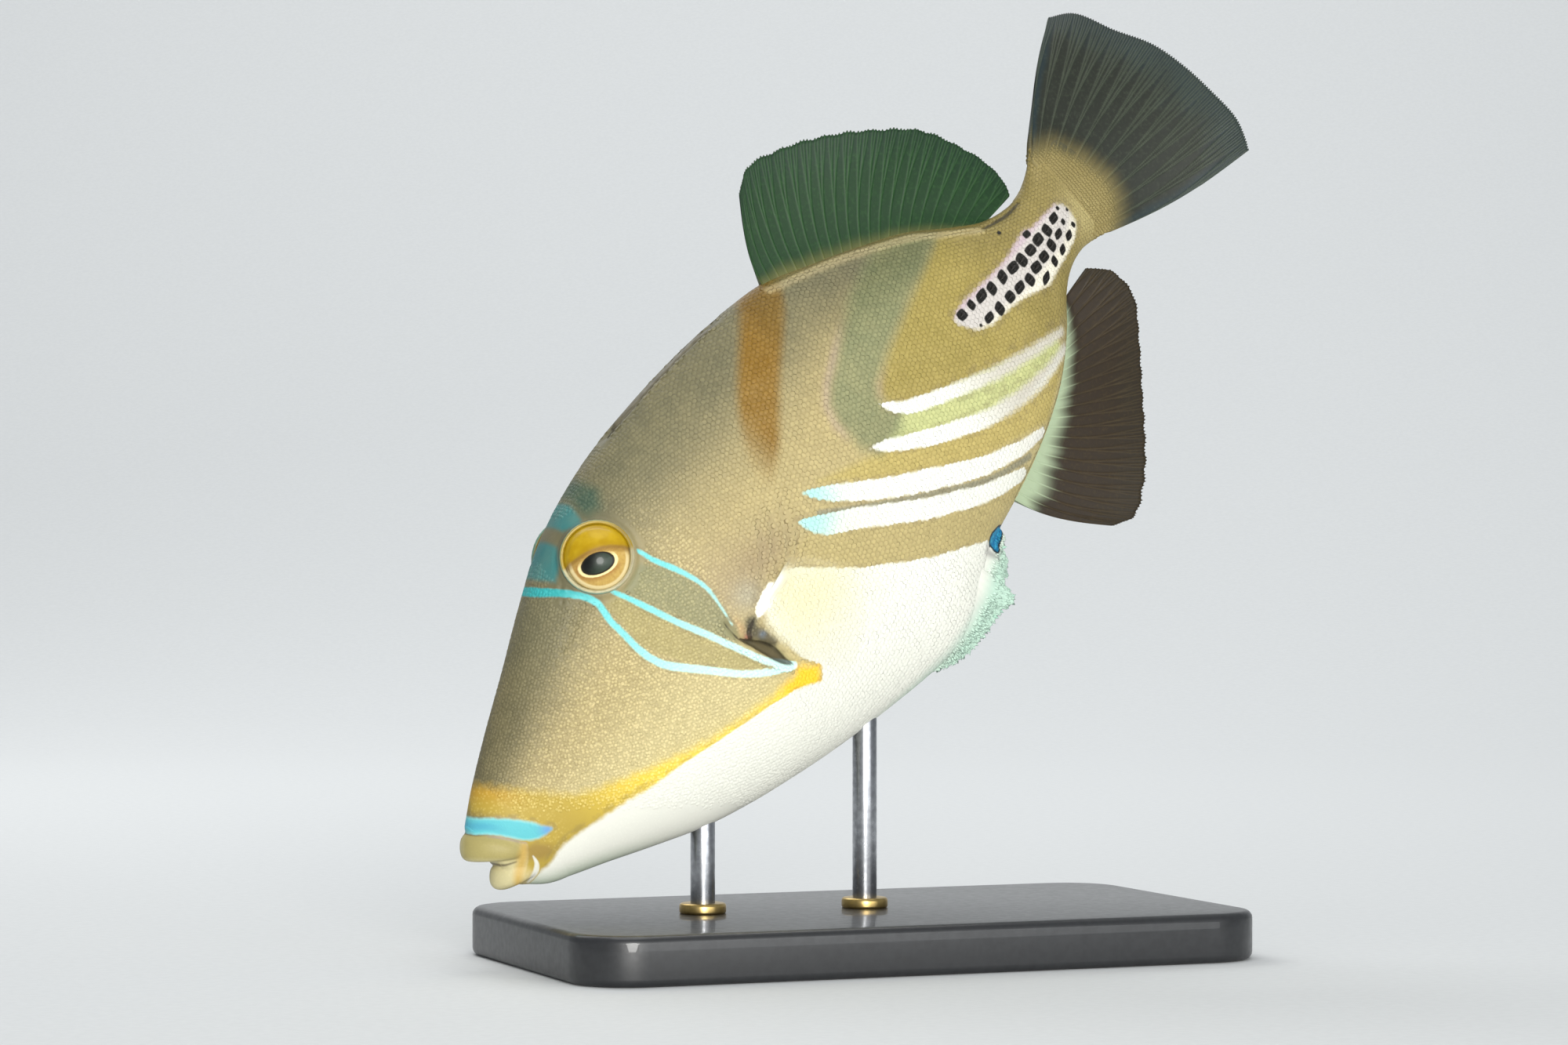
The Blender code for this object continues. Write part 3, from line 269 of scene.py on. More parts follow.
# The folded dorsal fin: its spines as (root, tip, radius), their shape as shares of length and of
# radius, and its web's line and radii.
FOLDED_SPINES = [((64, 0, 29.6), (86, 0, 30.4), 0.95), ((70, 0.5, 29.6), (83, 0.4, 30.3), 0.7),
                 ((76, -0.5, 29.6), (84.5, -0.35, 30.2), 0.55)]
SPINE_SHAPE = [(0, 0.5), (0.06, 0.9), (0.2, 1.0), (0.4, 0.9), (0.6, 0.75), (0.8, 0.58),
               (0.93, 0.42), (1, 0.15)]
FOLDED_WEB = [(62, 0, 29.2), (67, 0, 29.8), (76, 0, 30.0), (84, 0, 30.1), (91, 0, 29.3)]
WEB_RADII = [0.3, 1.2, 1.35, 1.2, 0.25]

# The stand's round corners, and the studio's floor in metres: its size, the length of its flat part,
# the radius of its bend and how far in front of the fish it starts.
BASE_CORNER = 10
FLOOR_LONG, FLOOR_WIDE, FLOOR_FLAT, FLOOR_BEND, FLOOR_FRONT = 6.4, 10, 2.0, 1.6, 1.4

# The camera, which looks level at a point near the fish's middle.
VIEW_TURN = math.radians(22)
VIEW_POINT = (-13.6, 0.0, 71.3)
VIEW_DISTANCE = 700.0
LENS = 98.43


def paint(red, green, blue):
    """A colour mixed on the screen's scale of 255, as a shader's linear colour."""
    scaled = np.array([red, green, blue]) / 255
    return tuple(np.where(scaled < 0.04045, scaled / 12.92, ((scaled + 0.055) / 1.055) ** 2.4))


TAN = paint(172, 156, 108)
PALE_TAN = paint(206, 192, 142)
BACK_BROWN = paint(90, 90, 70)
FOREHEAD = paint(36, 80, 68)
ORANGE = paint(128, 92, 8)
GREY_GREEN = paint(124, 129, 93)
GOLD = paint(150, 134, 63)
GREEN_GOLD = paint(188, 192, 132)
OLIVE = paint(178, 160, 92)
BROWN = paint(176, 160, 108)
LINE_GREY = paint(140, 136, 112)
CREAM = paint(228, 220, 178)
WHITE = paint(231, 231, 220)
FLAP_GREEN = paint(172, 210, 190)
CYAN = paint(112, 206, 206)
ICE = paint(206, 242, 234)
LILAC = paint(196, 190, 184)
VIOLET = paint(112, 150, 208)
YELLOW = paint(236, 204, 70)
SNOUT_YELLOW = paint(166, 142, 56)
BLOCK_YELLOW = paint(250, 196, 24)
TEAL = paint(40, 122, 124)
PAINTED_SHADE_BROWN = paint(46, 40, 28)
MOTTLE_BROWN = paint(148, 122, 66)
SPOT_BLACK = paint(20, 18, 14)
VENT_BLUE = paint(18, 104, 150)
LIP_TAN = paint(168, 156, 98)
LIP_EDGE = paint(206, 196, 150)
TAIL_GOLD = paint(134, 120, 72)
FIN_GREY = paint(30, 34, 25)
FIN_BLUE = paint(26, 40, 42)
RAY_PALE = paint(72, 80, 64)
BASE_GREEN = paint(166, 182, 150)
EYE_YELLOW = paint(168, 134, 8)
IRIS = paint(188, 156, 84)
RIM_CREAM = paint(238, 218, 158)
PUPIL = paint(10, 13, 10)


def profile(points):
    """A smooth function of arrays through (x, value) points, level beyond the first and the last."""
    xs, values = np.array(points, float).T
    steps = np.diff(xs)
    rises = np.diff(values) / steps
    inner = (rises[:-1] * steps[1:] + rises[1:] * steps[:-1]) / (steps[:-1] + steps[1:])
    slopes = np.concatenate([rises[:1], inner, rises[-1:]])

    def at(x):
        x = np.clip(x, xs[0], xs[-1])
        i = np.clip(np.searchsorted(xs, x, side="right") - 1, 0, len(steps) - 1)
        t = (x - xs[i]) / steps[i]
        start = (1 + 2 * t) * (1 - t) ** 2 * values[i] + t * (1 - t) ** 2 * steps[i] * slopes[i]
        return start + t * t * (3 - 2 * t) * values[i + 1] - t * t * (1 - t) * steps[i] * slopes[i + 1]

    return at


def path(points):
    """A smooth line through points of any size, as a function of the share of its length."""
    points = np.array(points, float)
    along = np.concatenate([[0], np.cumsum(np.linalg.norm(np.diff(points[:, :2], axis=0), axis=1))])
    parts = [profile(list(zip(along / along[-1], axis))) for axis in points.T]
    return lambda share: np.stack([part(share) for part in parts], axis=-1)


def nearby(u, v, points, reach):
    """Which places lie within reach of the box round some (u, v) points."""
    low, high = points[:, :2].min(axis=0) - reach, points[:, :2].max(axis=0) + reach
    return (u > low[0]) & (u < high[0]) & (v > low[1]) & (v < high[1])


back, belly, half_width = profile(BACK), profile(BELLY), profile(HALF_WIDTH)
widest_level, full_above, full_below = profile(WIDEST_LEVEL), profile(FULL_ABOVE), profile(FULL_BELOW)


def smooth(share):
    share = np.clip(share, 0, 1)
    return share * share * (3 - 2 * share)


def world(points):
    """Places on the fish (u, y, v) in millimetres as places in the frame, in metres."""
    u, y, v = np.moveaxis(np.asarray(points, float), -1, 0)
    return np.stack([LIP_X + u * math.cos(PITCH) - v * math.sin(PITCH), y,
                     LIP_Z + u * math.sin(PITCH) + v * math.cos(PITCH)], axis=-1) * MM


def unit(vectors):
    return vectors / np.maximum(np.linalg.norm(vectors, axis=-1, keepdims=True), 1e-9)


def eye_mound(u, v):
    """How far the head swells out round the eye."""
    away = np.hypot(u - EYE_U, v - EYE_V) / MOUND_REACH
    return np.where(away < 1, MOUND_RISE * (1 - away * away) ** 2, 0)


def flank(u, v):
    """The body's half width at a place on its side."""
    level = widest_level(u)
    reach = np.where(v > level, back(u) - level, level - belly(u))
    power = np.where(v > level, full_above(u), full_below(u))
    share = np.minimum(np.abs(v - level) / reach, 1)
    return half_width(u) * (1 - share ** power) ** (1 / power) + eye_mound(u, v)


def section(u, angle):
    """Half width and level of the body's section at u, from the angle round it."""
    level = widest_level(u)
    above = np.sin(angle) > 0
    reach = np.where(above, back(u) - level, level - belly(u))
    power = 2 / np.where(above, full_above(u), full_below(u))
    v = level + np.sign(np.sin(angle)) * reach * np.abs(np.sin(angle)) ** power
    y = half_width(u) * np.abs(np.cos(angle)) ** power
    return np.where(np.abs(np.cos(angle)) > 1e-6, y + eye_mound(u, v), 0), v


def line_distance(u, v, line):
    """Distance to a line of (u, v, half width) points less its half width, up to FAR."""
    nearest = np.full(u.shape, FAR)
    for (u0, v0, w0), (u1, v1, w1) in zip(line[:-1], line[1:]):
        du, dv = u1 - u0, v1 - v0
        t = np.clip(((u - u0) * du + (v - v0) * dv) / (du * du + dv * dv), 0, 1)
        nearest = np.minimum(nearest, np.hypot(u - u0 - t * du, v - v0 - t * dv) - (w0 + t * (w1 - w0)))
    return nearest


def band(u, v, points):
    """Signed distance to a band along (u, v, half width) points, below zero inside it, up to FAR."""
    line = path(points)(np.linspace(0, 1, 33))
    u, v = np.broadcast_arrays(np.asarray(u, float), v)
    distance = np.full(u.shape, FAR)
    near = nearby(u, v, line, FAR)
    distance[near] = line_distance(u[near], v[near], line)
    return distance


def region(u, v, outline):
    """Signed distance to a closed outline of (u, v), below zero inside it, up to FAR."""
    outline = np.array(outline + outline[:1], float)
    u, v = np.broadcast_arrays(np.asarray(u, float), v)
    distance = np.full(u.shape, FAR)
    near = nearby(u, v, outline, FAR)
    u, v = u[near], v[near]
    inside = np.zeros(u.shape, bool)
    for (u0, v0), (u1, v1) in zip(outline[:-1], outline[1:]):
        if v0 != v1:
            inside ^= ((v0 > v) != (v1 > v)) & (u < (u1 - u0) * (v - v0) / (v1 - v0) + u0)
    edge = line_distance(u, v, np.pad(outline, ((0, 0), (0, 1))))
    distance[near] = np.where(inside, -edge, edge)
    return distance


def lay(colours, share, colour):
    """Lays a colour over others by a share from 0 to 1."""
    share = np.clip(share, 0, 1)[..., None]
    return colours * (1 - share) + np.array(colour) * share


def washes(ground, places, *layers):
    """A colour, or colours, of places, with each layer's colour laid over by its share."""
    colours = np.ones(np.shape(places) + (3,)) * np.array(ground)
    for share, colour in layers:
        colours = lay(colours, share, colour)
    return colours


def soft(distance, width):
    """The share of a wash at a signed distance from its edge."""
    return smooth(0.5 - distance / width)


def ridge(distance, middle, width):
    """A rounded ridge, 1 high where a distance has its middle value."""
    return np.exp(-((distance - middle) / width) ** 2)


def blot(u, v, middle_u, middle_v, reach_u, reach_v):
    """The share of an oval wash that fades out from its middle."""
    return np.exp(-((u - middle_u) / reach_u) ** 2 - ((v - middle_v) / reach_v) ** 2)


def beside(distance, reach, power=2):
    """The share of a shade that is full inside a marking and fades beside it."""
    return np.exp(-(np.maximum(distance, 0) / reach) ** power)


def spot_field(u, v):
    """Signed distance to the dark spots, rough lozenges that stand upright in the pose."""
    distance = np.full(np.shape(u), FAR)
    near = nearby(u, v, np.array(SPOTS), 2.0)
    u, v = u[near], v[near]
    nearest = np.full(u.shape, FAR)
    power = 1.3
    for number, (spot_u, spot_v, wide, tall) in enumerate(SPOTS):
        du, dv = u - spot_u, v - spot_v
        up = du * math.sin(PITCH) + dv * math.cos(PITCH)
        right = du * math.cos(PITCH) - dv * math.sin(PITCH) + up * 0.3 * math.sin(number * 2.3)
        size = (np.abs(right) / (1.42 * wide)) ** power + (np.abs(up) / (1.36 * tall)) ** power
        nearest = np.minimum(nearest, (size ** (1 / power) - 1) * 0.5 * (wide + tall))
    distance[near] = nearest
    return distance


def ground_colour(u, v):
    """The skin's colour where no pale marking lies, in soft washes, with painted shade and highlights at the
    slit and folds.
    """
    height = (v - belly(u)) / (back(u) - belly(u))
    cheek = smooth((0.66 - height) / 0.4) * smooth((60 - u) / 14)
    grey_edge = region(u, v, GREY_BAND)
    grey = soft(grey_edge, 3.2)
    lilac = ridge(grey_edge, 0.6, 0.8) * smooth((104 - u) / 8) * smooth((v - 2) / 4)
    orange = band(u, v, ORANGE_BAND)
    fade = smooth((u - 71.5) / 9)
    sheath_v = np.interp(u, [98, 113, 123, 133], [28.2, 22.3, 17, 9.4])
    above_sheath = smooth((v - sheath_v) / 0.8) * smooth((u - 98) / 3)
    colours = washes(
        TAN, u,
        (0.55 * smooth((0.72 - height) / 0.5), PALE_TAN),
        (0.85 * cheek, PALE_TAN),
        (0.85 * smooth((height - 0.66) / 0.28), BACK_BROWN),
        (0.46 * smooth((34 - u) / 16) * smooth((height - 0.58) / 0.35), paint(104, 94, 62)),
        (0.85 * soft(region(u, v, GOLD_REAR), 3.0), GOLD),
        (0.5 * smooth((height - 0.6) / 0.4) * smooth((u - 124) / 8), paint(112, 100, 50)),
        (0.75 * smooth((u - 122) / 14), paint(132, 118, 66)),
        (0.9 * smooth((u - 142) / 7), TAIL_GOLD),
        (0.85 * blot(u, v, 149, -1.5, 4, 5), paint(178, 164, 112)),
        (soft(region(u, v, BETWEEN_1_2), 1.0), GREEN_GOLD),
        (soft(region(u, v, BETWEEN_2_3), 2.0) * 0.9, OLIVE),
        (soft(region(u, v, BROWN_BAND), 1.6) * 0.85, BROWN),
        (soft(band(u, v, BETWEEN_3_4), 0.5), LINE_GREY),
        (0.9 * grey, GREY_GREEN),
        (0.85 * grey * smooth((height - 0.7) / 0.25), paint(92, 97, 64)),
        (0.3 * lilac, paint(176, 150, 150)),
        (0.95 * fade * soft(orange, 2.3), ORANGE),
        (0.6 * fade * soft(orange, 2.4) * smooth((u - 88) / 8), paint(98, 74, 14)),
        (0.6 * above_sheath * smooth((140 - u) / 6), paint(126, 112, 52)),
        (0.5 * ridge(band(u, v, SHEATH_LINE), -0.1, 0.42), paint(200, 184, 138)),
        (0.5 * blot(u, v, 57, 0.5, 8, 7), paint(160, 142, 116)),
        (0.75 * blot(u, v, 58.6, -1.8, 2.6, 2.6), paint(170, 166, 146)),
        # Painted shadow round the slit's notch and down into the gill slit.
        (0.85 * beside(band(u, v, SLIT_NOTCH), 0.7), paint(84, 84, 66)),
        (0.85 * beside(band(u, v, SLIT_PAINTED_SHADE), 0.55), paint(62, 60, 48)),
        # A painted blue-grey glint in the gill slit.
        (0.8 * ridge(np.hypot(u - 56.2, v + 8.4), 0, 0.6), paint(96, 118, 140)),
        (0.8 * ridge(np.hypot(u - 54.0, v + 6.9), 0, 0.5), paint(176, 96, 92)),
        (0.7 * blot(u, v, 54.0, -4.6, 0.8, 1.7), paint(190, 150, 104)),
        (0.6 * blot(u, v, 65, 0.8, 6, 3.6), paint(142, 122, 92)))
    # Each skin fold gets painted shade down its groove and a painted highlight along one side of it.
    for line in SKIN_FOLDS:
        colours = lay(colours, 0.55 * soft(band(u, v, line), 0.5), paint(116, 98, 68))
        colours = lay(colours, 0.3 * soft(band(u + 0.7, v + 0.2, line), 0.5), paint(206, 196, 160))
    glow = soft(region(u, v, YELLOW_BAND), 7.0) * smooth((u - 22) / 12) * smooth((62 - u) / 4)
    return washes(
        colours, u,
        (0.55 * soft(region(u, v, EYE_STRIPE_FIELD), 1.0), paint(160, 150, 94)),
        (0.7 * soft(region(u, v, SHOULDER_FIELD), 1.2), paint(128, 132, 98)),
        (0.45 * glow, paint(232, 212, 130)),
        (0.7 * soft(region(u, v, CROWN), 2.6), FOREHEAD),
        (0.75 * soft(region(u, v, MOUTH_MOTTLE), 1.4), MOTTLE_BROWN),
        *((0.9 * soft(region(u, v, bar), 0.9), TEAL) for bar in TEAL_BARS))


def pale_colour(u, v):
    """The colour of the pale markings: belly, stripes, cheek lines, lip stripe and spot patch."""
    tint_edge = v - np.interp(u, *np.array(TINT_LINE).T)
    slit_shade = beside(band(u, v, SLIT), 1.5, 1.4) * smooth((u - 54.4) / 1.2)
    colours = washes(
        WHITE, u,
        (0.9 * blot(u, v, 66, -9, 12, 9), CREAM),
        (smooth((u - 56) / 16) * soft(tint_edge + 0.5, 4.6) * 0.8, FLAP_GREEN),
        (0.75 * soft(band(u, v, VENT_WISP), 1.3), paint(140, 138, 134)),
        (0.75 * smooth((30 - u) / 20) * soft(v - belly(u) - 1.8, 4.4), paint(184, 202, 176)),
        (0.7 * slit_shade, paint(150, 146, 112)),
        # Painted shade down the fine creases in the cream.
        *((0.4 * soft(band(u, v, line), 0.4), paint(196, 180, 132)) for line in CREAM_FOLDS),
        (soft(region(u, v, PECTORAL_STREAK) - 0.3, 0.7), paint(255, 252, 234)),
        *((0.95 * ridge(np.hypot(u - front_u, v - front_v), 0, 4.8), paint(166, 214, 208))
          for front_u, front_v in STRIPE_FRONTS))
    upper = smooth((u - 104) / 16) * smooth((v + 17.5) / 3)
    lower = smooth((u - 104) / 14) * smooth((-16.5 - v) / 3) * smooth((v + 27) / 3)
    lines = np.min([band(u, v, line) for line in (EYE_STRIPE, CHEEK_STRIPE, SHOULDER_STRIPE)], axis=0)
    cheek = soft(lines - 0.5, 0.6)
    patch = soft(region(u, v, SPOT_PATCH) - 0.5, 1.0)
    patch_low = v - np.interp(u, [118, 132, 142, 147], [-0.6, -2.6, -2.4, 0.0])
    patch_high = v - np.interp(u, [118, 132, 142], [3.0, 2.4, 2.6])
    across = band(u, v, LIP_STRIPE)
    lip = soft(across - 0.4, 0.6)
    return washes(
        colours, u,
        (0.9 * upper, paint(192, 186, 172)),
        (0.35 * lower, paint(220, 214, 204)),
        (cheek, ICE),
        (cheek * smooth((v + 12) / 26), CYAN),
        (cheek * smooth((v - 14.5) / 5) * 0.9, paint(44, 160, 160)),
        (patch, LILAC),
        (patch * soft(patch_low, 2.0), paint(224, 218, 200)),
        (patch * smooth(patch_high), paint(190, 172, 178)),
        (lip, paint(96, 188, 196)),
        (lip * 0.5 * soft(across + 0.75, 0.9) * smooth((6.5 - u) / 3), paint(66, 146, 184)),
        (lip * 0.5 * smooth((across + 0.5) / 0.5), paint(168, 226, 220)),
        (lip * 0.85 * ridge(np.hypot(u - 10.4, v + 6.5), 0, 1.2), VIOLET))


def yellow_colour(u, v):
    """The yellow of the snout's band and of the line along the cheek's lower edge."""
    bright = ridge(u + v, 12.3, 2.6) * smooth((13 - u) / 5) * smooth((v + 4) / 4)
    return washes(
        YELLOW, u,
        (0.9 * smooth((30 - u) / 18), SNOUT_YELLOW),
        (0.6 * bright, paint(186, 138, 36)),
        (0.75 * soft(region(u, v, MOUTH_MOTTLE), 1.4), MOTTLE_BROWN),
        (smooth((u - 51) / 4), BLOCK_YELLOW))


def markings(u, v):
    """Colours and signed distances of the markings at places on the fish's side."""
    bib = smooth((66 - u) / 5) * smooth((u - 50) / 4) * smooth((v + 15.5) / 3)
    faint = (1 - 0.82 * bib) * (1 - 0.6 * smooth((36 - u) / 10))
    worn = 1 - 0.75 * smooth((u - 100) / 16)
    pale = [region(u, v, BELLY_PATCH) * faint, region(u, v, SPOT_PATCH) * 0.4,
            region(u, v, PECTORAL_STREAK), band(u, v, LIP_STRIPE) * 0.6, band(u, v, STRIPE_1) * worn]
    pale += [band(u, v, line) for line in (EYE_STRIPE, CHEEK_STRIPE, SHOULDER_STRIPE, STRIPE_3)]
    # The gill slit, its notch and the creases are painted dark as shade.
    dark = [band(u, v, line) for line in (SLIT, SLIT_NOTCH, *CREASES)]
    return {"ground": ground_colour(u, v), "pale": pale_colour(u, v), "gold": yellow_colour(u, v),
            "pale_a": np.min(pale, axis=0),
            "pale_b": np.minimum(band(u, v, STRIPE_2) * worn, band(u, v, STRIPE_4)),
            "yellow": region(u, v, YELLOW_BAND), "dark": np.min(dark, axis=0), "spots": spot_field(u, v),
            "vent": region(u, v, VENT)}


# Mesh tools: a primitive laid out in rows, then moved to its places in code.

def clear_selection():
    if bpy.context.mode != "OBJECT":
        bpy.ops.object.mode_set(mode="OBJECT")
    bpy.ops.object.select_all(action="DESELECT")


def only(piece):
    clear_selection()
    piece.select_set(True)
    bpy.context.view_layer.objects.active = piece


def store(piece, name, values):
    """Keeps a value or a colour for each point of a piece."""
    values = np.asarray(values, np.float32)
    mesh = piece.data
    if values.ndim == 2:
        layer = mesh.attributes.new(name, "FLOAT_COLOR", "POINT")
        layer.data.foreach_set("color", np.hstack([values, np.ones((len(values), 1), np.float32)]).ravel())
    else:
        mesh.attributes.new(name, "FLOAT", "POINT").data.foreach_set("value", values)


def dress(piece, values, shape):
    """Keeps named values of places, or one value for all, on a piece's points."""
    for name, value in values.items():
        value = np.broadcast_to(value, shape + np.shape(value)[len(shape):])
        store(piece, name, value.reshape((-1,) + value.shape[len(shape):]))


def map_corners(layer, mesh, places):
    """Writes the place of each of a mesh's points on the map into a layer."""
    corners = np.zeros(len(mesh.loops), np.int32)
    mesh.loops.foreach_get("vertex_index", corners)
    layer.data.foreach_set("uv", places.reshape(-1, 2)[corners].astype(np.float32).ravel())


def face_out(piece, merge=False, fill=False):
    """Turns a piece's faces out, once its touching points are joined and its holes filled if asked."""
    only(piece)
    bpy.ops.object.mode_set(mode="EDIT")
    bpy.ops.mesh.select_all(action="SELECT")
    if merge:
        bpy.ops.mesh.remove_doubles(threshold=1e-7)
    if fill:
        bpy.ops.mesh.fill_holes(sides=0)
        bpy.ops.mesh.select_all(action="SELECT")
    bpy.ops.mesh.normals_make_consistent(inside=False)
    bpy.ops.object.mode_set(mode="OBJECT")


def lay_out(name, places, values=None, unwrap=None):
    """A grid primitive moved to places[row, column] of the fish.

    Its last column lies on its first, and its open ends are filled."""
    rows, columns = places.shape[:2]
    clear_selection()
    bpy.ops.mesh.primitive_grid_add(x_subdivisions=columns - 1, y_subdivisions=rows - 1, size=1)
    piece = bpy.context.object
    piece.name = piece.data.name = name
    piece.data.vertices.foreach_set("co", world(places).reshape(-1).astype(np.float32))
    dress(piece, values or {}, (rows, columns))
    layer = piece.data.uv_layers[0]
    if unwrap is None:
        piece.data.uv_layers.remove(layer)
    else:
        layer.name = "OFBake"
        map_corners(layer, piece.data, unwrap)
    face_out(piece, merge=True, fill=True)
    piece.data.shade_smooth()
    piece.data.update()
    return piece


def join(name, pieces):
    """Joins pieces into the first of them."""
    clear_selection()
    for piece in pieces:
        piece.select_set(True)
    bpy.context.view_layer.objects.active = pieces[0]
    bpy.ops.object.join()
    pieces[0].name = pieces[0].data.name = name
    return pieces[0]


def belongs(piece, finish, slot_name, *nodes):
    """Gives a piece its finish and its body, and the solids that it stands for. Its slot name is not used."""
    piece.data.materials.clear()
    piece.data.materials.append(finish)
    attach(piece, "root")
    if nodes:
        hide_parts(*nodes)
    return piece


# Shader tools.

class Value:
    """A socket in a finish's nodes; arithmetic on it adds Math nodes."""

    def __init__(self, finish, socket):
        self.finish, self.socket = finish, socket

    def maths(self, operation, *terms):
        return self.finish.node("ShaderNodeMath", {"operation": operation}, dict(enumerate(terms)))

    def __add__(self, other):
        return self.maths("ADD", self, other)

    def __mul__(self, other):
        return self.maths("MULTIPLY", self, other)

    def __sub__(self, other):
        return self.maths("SUBTRACT", self, other)

    def __rsub__(self, other):
        return self.maths("SUBTRACT", other, self)

    def __truediv__(self, other):
        return self.maths("DIVIDE", self, other)

    def most(self, other):
        return self.maths("MAXIMUM", self, other)

    def least(self, other):
        return self.maths("MINIMUM", self, other)

    def size(self):
        return self.maths("ABSOLUTE", self)

    def root(self):
        return self.maths("SQRT", self)

    __radd__ = __add__
    __rmul__ = __mul__


class Finish:
    """One material, built up node by node."""

    def __init__(self, name, **constants):
        self.material = bpy.data.materials.new(name)
        self.material.use_nodes = True
        self.tree = self.material.node_tree
        self.surface = self.tree.nodes["Principled BSDF"]
        for socket, value in constants.items():
            self.surface.inputs[socket.replace("_", " ")].default_value = value
        self.place = self.node("ShaderNodeTexCoord", out="Object")

    def node(self, kind, settings=None, inputs=None, out=0):
        """Adds a node with its settings, then the values or links of its sockets."""
        node = self.tree.nodes.new(kind)
        for setting, value in (settings or {}).items():
            setattr(node, setting, value)
        for socket, value in (inputs or {}).items():
            if isinstance(value, Value):
                self.tree.links.new(value.socket, node.inputs[socket])
            elif node.inputs[socket].type == "RGBA":
                node.inputs[socket].default_value = (*value[:3], 1)
            else:
                node.inputs[socket].default_value = value
        return Value(self, node.outputs[out])

    def attribute(self, name, out="Fac"):
        return self.node("ShaderNodeAttribute", {"attribute_name": name}, out=out)

    def noise(self, scale, detail=2.0, roughness=0.5):
        """Noise from 0 to 1 with so many waves to the millimetre."""
        inputs = {"Vector": self.place, "Scale": scale / MM, "Detail": detail, "Roughness": roughness}
        return self.node("ShaderNodeTexNoise", None, inputs, "Fac")

    def cells(self, scale):
        """The distance to the nearest of so many random points to the millimetre."""
        inputs = {"Vector": self.place, "Scale": scale / MM}
        return self.node("ShaderNodeTexVoronoi", {"feature": "F1"}, inputs, "Distance")

    def vector(self, x, y=0.0, z=0.0):
        return self.node("ShaderNodeCombineXYZ", None, {0: x, 1: y, 2: z})

    def grey(self, shade):
        return self.node("ShaderNodeCombineColor", None, {0: shade, 1: shade, 2: shade})

    def step(self, value, start, end):
        """A smooth step from 0 at start to 1 at end."""
        return self.node("ShaderNodeMapRange", {"interpolation_type": "SMOOTHSTEP"},
                         {0: value, 1: start, 2: end}, 0)

    def mix(self, share, first, second, blend="MIX"):
        return self.node("ShaderNodeMix", {"data_type": "RGBA", "blend_type": blend},
                         {0: share, 6: first, 7: second}, 2)

    def bump(self, height, depth, normal=None):
        """A bump of so many millimetres."""
        inputs = {"Height": height, "Distance": depth * MM, "Strength": 1.0}
        if normal:
            inputs["Normal"] = normal
        return self.node("ShaderNodeBump", None, inputs)

    def show(self, **sockets):
        """Links values to the surface's sockets and gives the material."""
        for socket, value in sockets.items():
            self.tree.links.new(value.socket, self.surface.inputs[socket.replace("_", " ")])
        return self.material


def skin_finish():
    """Skin and scales: the ground and the pale colours, with the edges of the markings kept crisp."""
    skin = Finish("fish_skin", Specular_IOR_Level=0.28, Coat_Weight=0.05, Coat_Roughness=0.4)
    mottle, grain, wander = skin.noise(0.22, 3), skin.noise(2.4, 2), skin.noise(0.9, 2)
    dome, tint, pebbly = skin.attribute("dome"), skin.attribute("tint"), skin.attribute("pebbly")
    cells = skin.step(skin.cells(2.0) + (grain - 0.5) * 0.3, 0.52, 0.16)
    dots = skin.step(dome + 0.2 * tint + 0.8 * (grain - 0.5), 0.55, 1.1)
    pebble = 0.45 * cells + 0.55 * dots
    stray = (wander - 0.5) * 0.5
    colour = skin.mix((mottle - 0.5) * 0.3 + 0.04, skin.attribute("ground", "Color"), TAN)
    shade = 0.92 + 0.06 * dome + 0.05 * tint + 0.16 * (mottle - 0.5)
    shade = shade + (0.08 + 0.22 * pebbly) * (pebble - 0.4)
    colour = skin.mix(1.0, colour, skin.grey(shade), "MULTIPLY")
    colour = skin.mix(pebble * pebbly * 0.33, colour, paint(236, 220, 168))
    yellow = skin.mix(pebble * pebbly * 0.5, skin.attribute("gold", "Color"), paint(252, 232, 150))
    edge = skin.attribute("yellow") + stray * 2.6
    colour = skin.mix(skin.step(edge, 0.9, -1.5) * 0.92, colour, yellow)
    pale_edge = skin.attribute("pale_a").least(skin.attribute("pale_b")) + stray * 0.5
    pale = skin.step(pale_edge, 0.2, -0.2)
    pale_shade = 0.96 + 0.03 * dome + 0.02 * tint + 0.05 * (pebble - 0.5)
    pale_paint = skin.mix(1.0, skin.attribute("pale", "Color"), skin.grey(pale_shade), "MULTIPLY")
    rim = skin.step((pale_edge - 0.3).size(), 0.35, 0.05) * skin.step(skin.noise(0.5, 2), 0.42, 0.6)
    colour = skin.mix(rim * 0.3, colour, paint(112, 100, 74))
    colour = skin.mix(pale, colour, pale_paint)
    colour = skin.mix(skin.step(skin.attribute("spots") + stray * 0.3, 0.1, -0.08), colour, SPOT_BLACK)
    vent = skin.attribute("vent") + stray * 1.1
    colour = skin.mix(skin.step(vent, 0.3, 0.05), colour, paint(14, 26, 34))
    blue = skin.mix(skin.step(grain, 0.35, 0.7), VENT_BLUE, paint(50, 150, 180))
    colour = skin.mix(skin.step(vent, 0.0, -0.35), colour, blue)
    # Painted shade in the gill slit, its notch and the creases, with a lighter brown deep inside the slit's
    # wide part.
    dark = skin.attribute("dark")
    colour = skin.mix(skin.step(dark, 0.22, -0.06) * 0.85, colour, PAINTED_SHADE_BROWN)
    colour = skin.mix(skin.step(dark, -0.3, -0.6) * 0.7, colour, paint(88, 78, 50))
    height = skin.noise(2.6, 3) + 0.6 * pebble
    rough = 0.46 + 0.16 * grain - 0.04 * dome
    return skin.show(Base_Color=colour, Roughness=rough, Normal=skin.bump(height, 0.03))


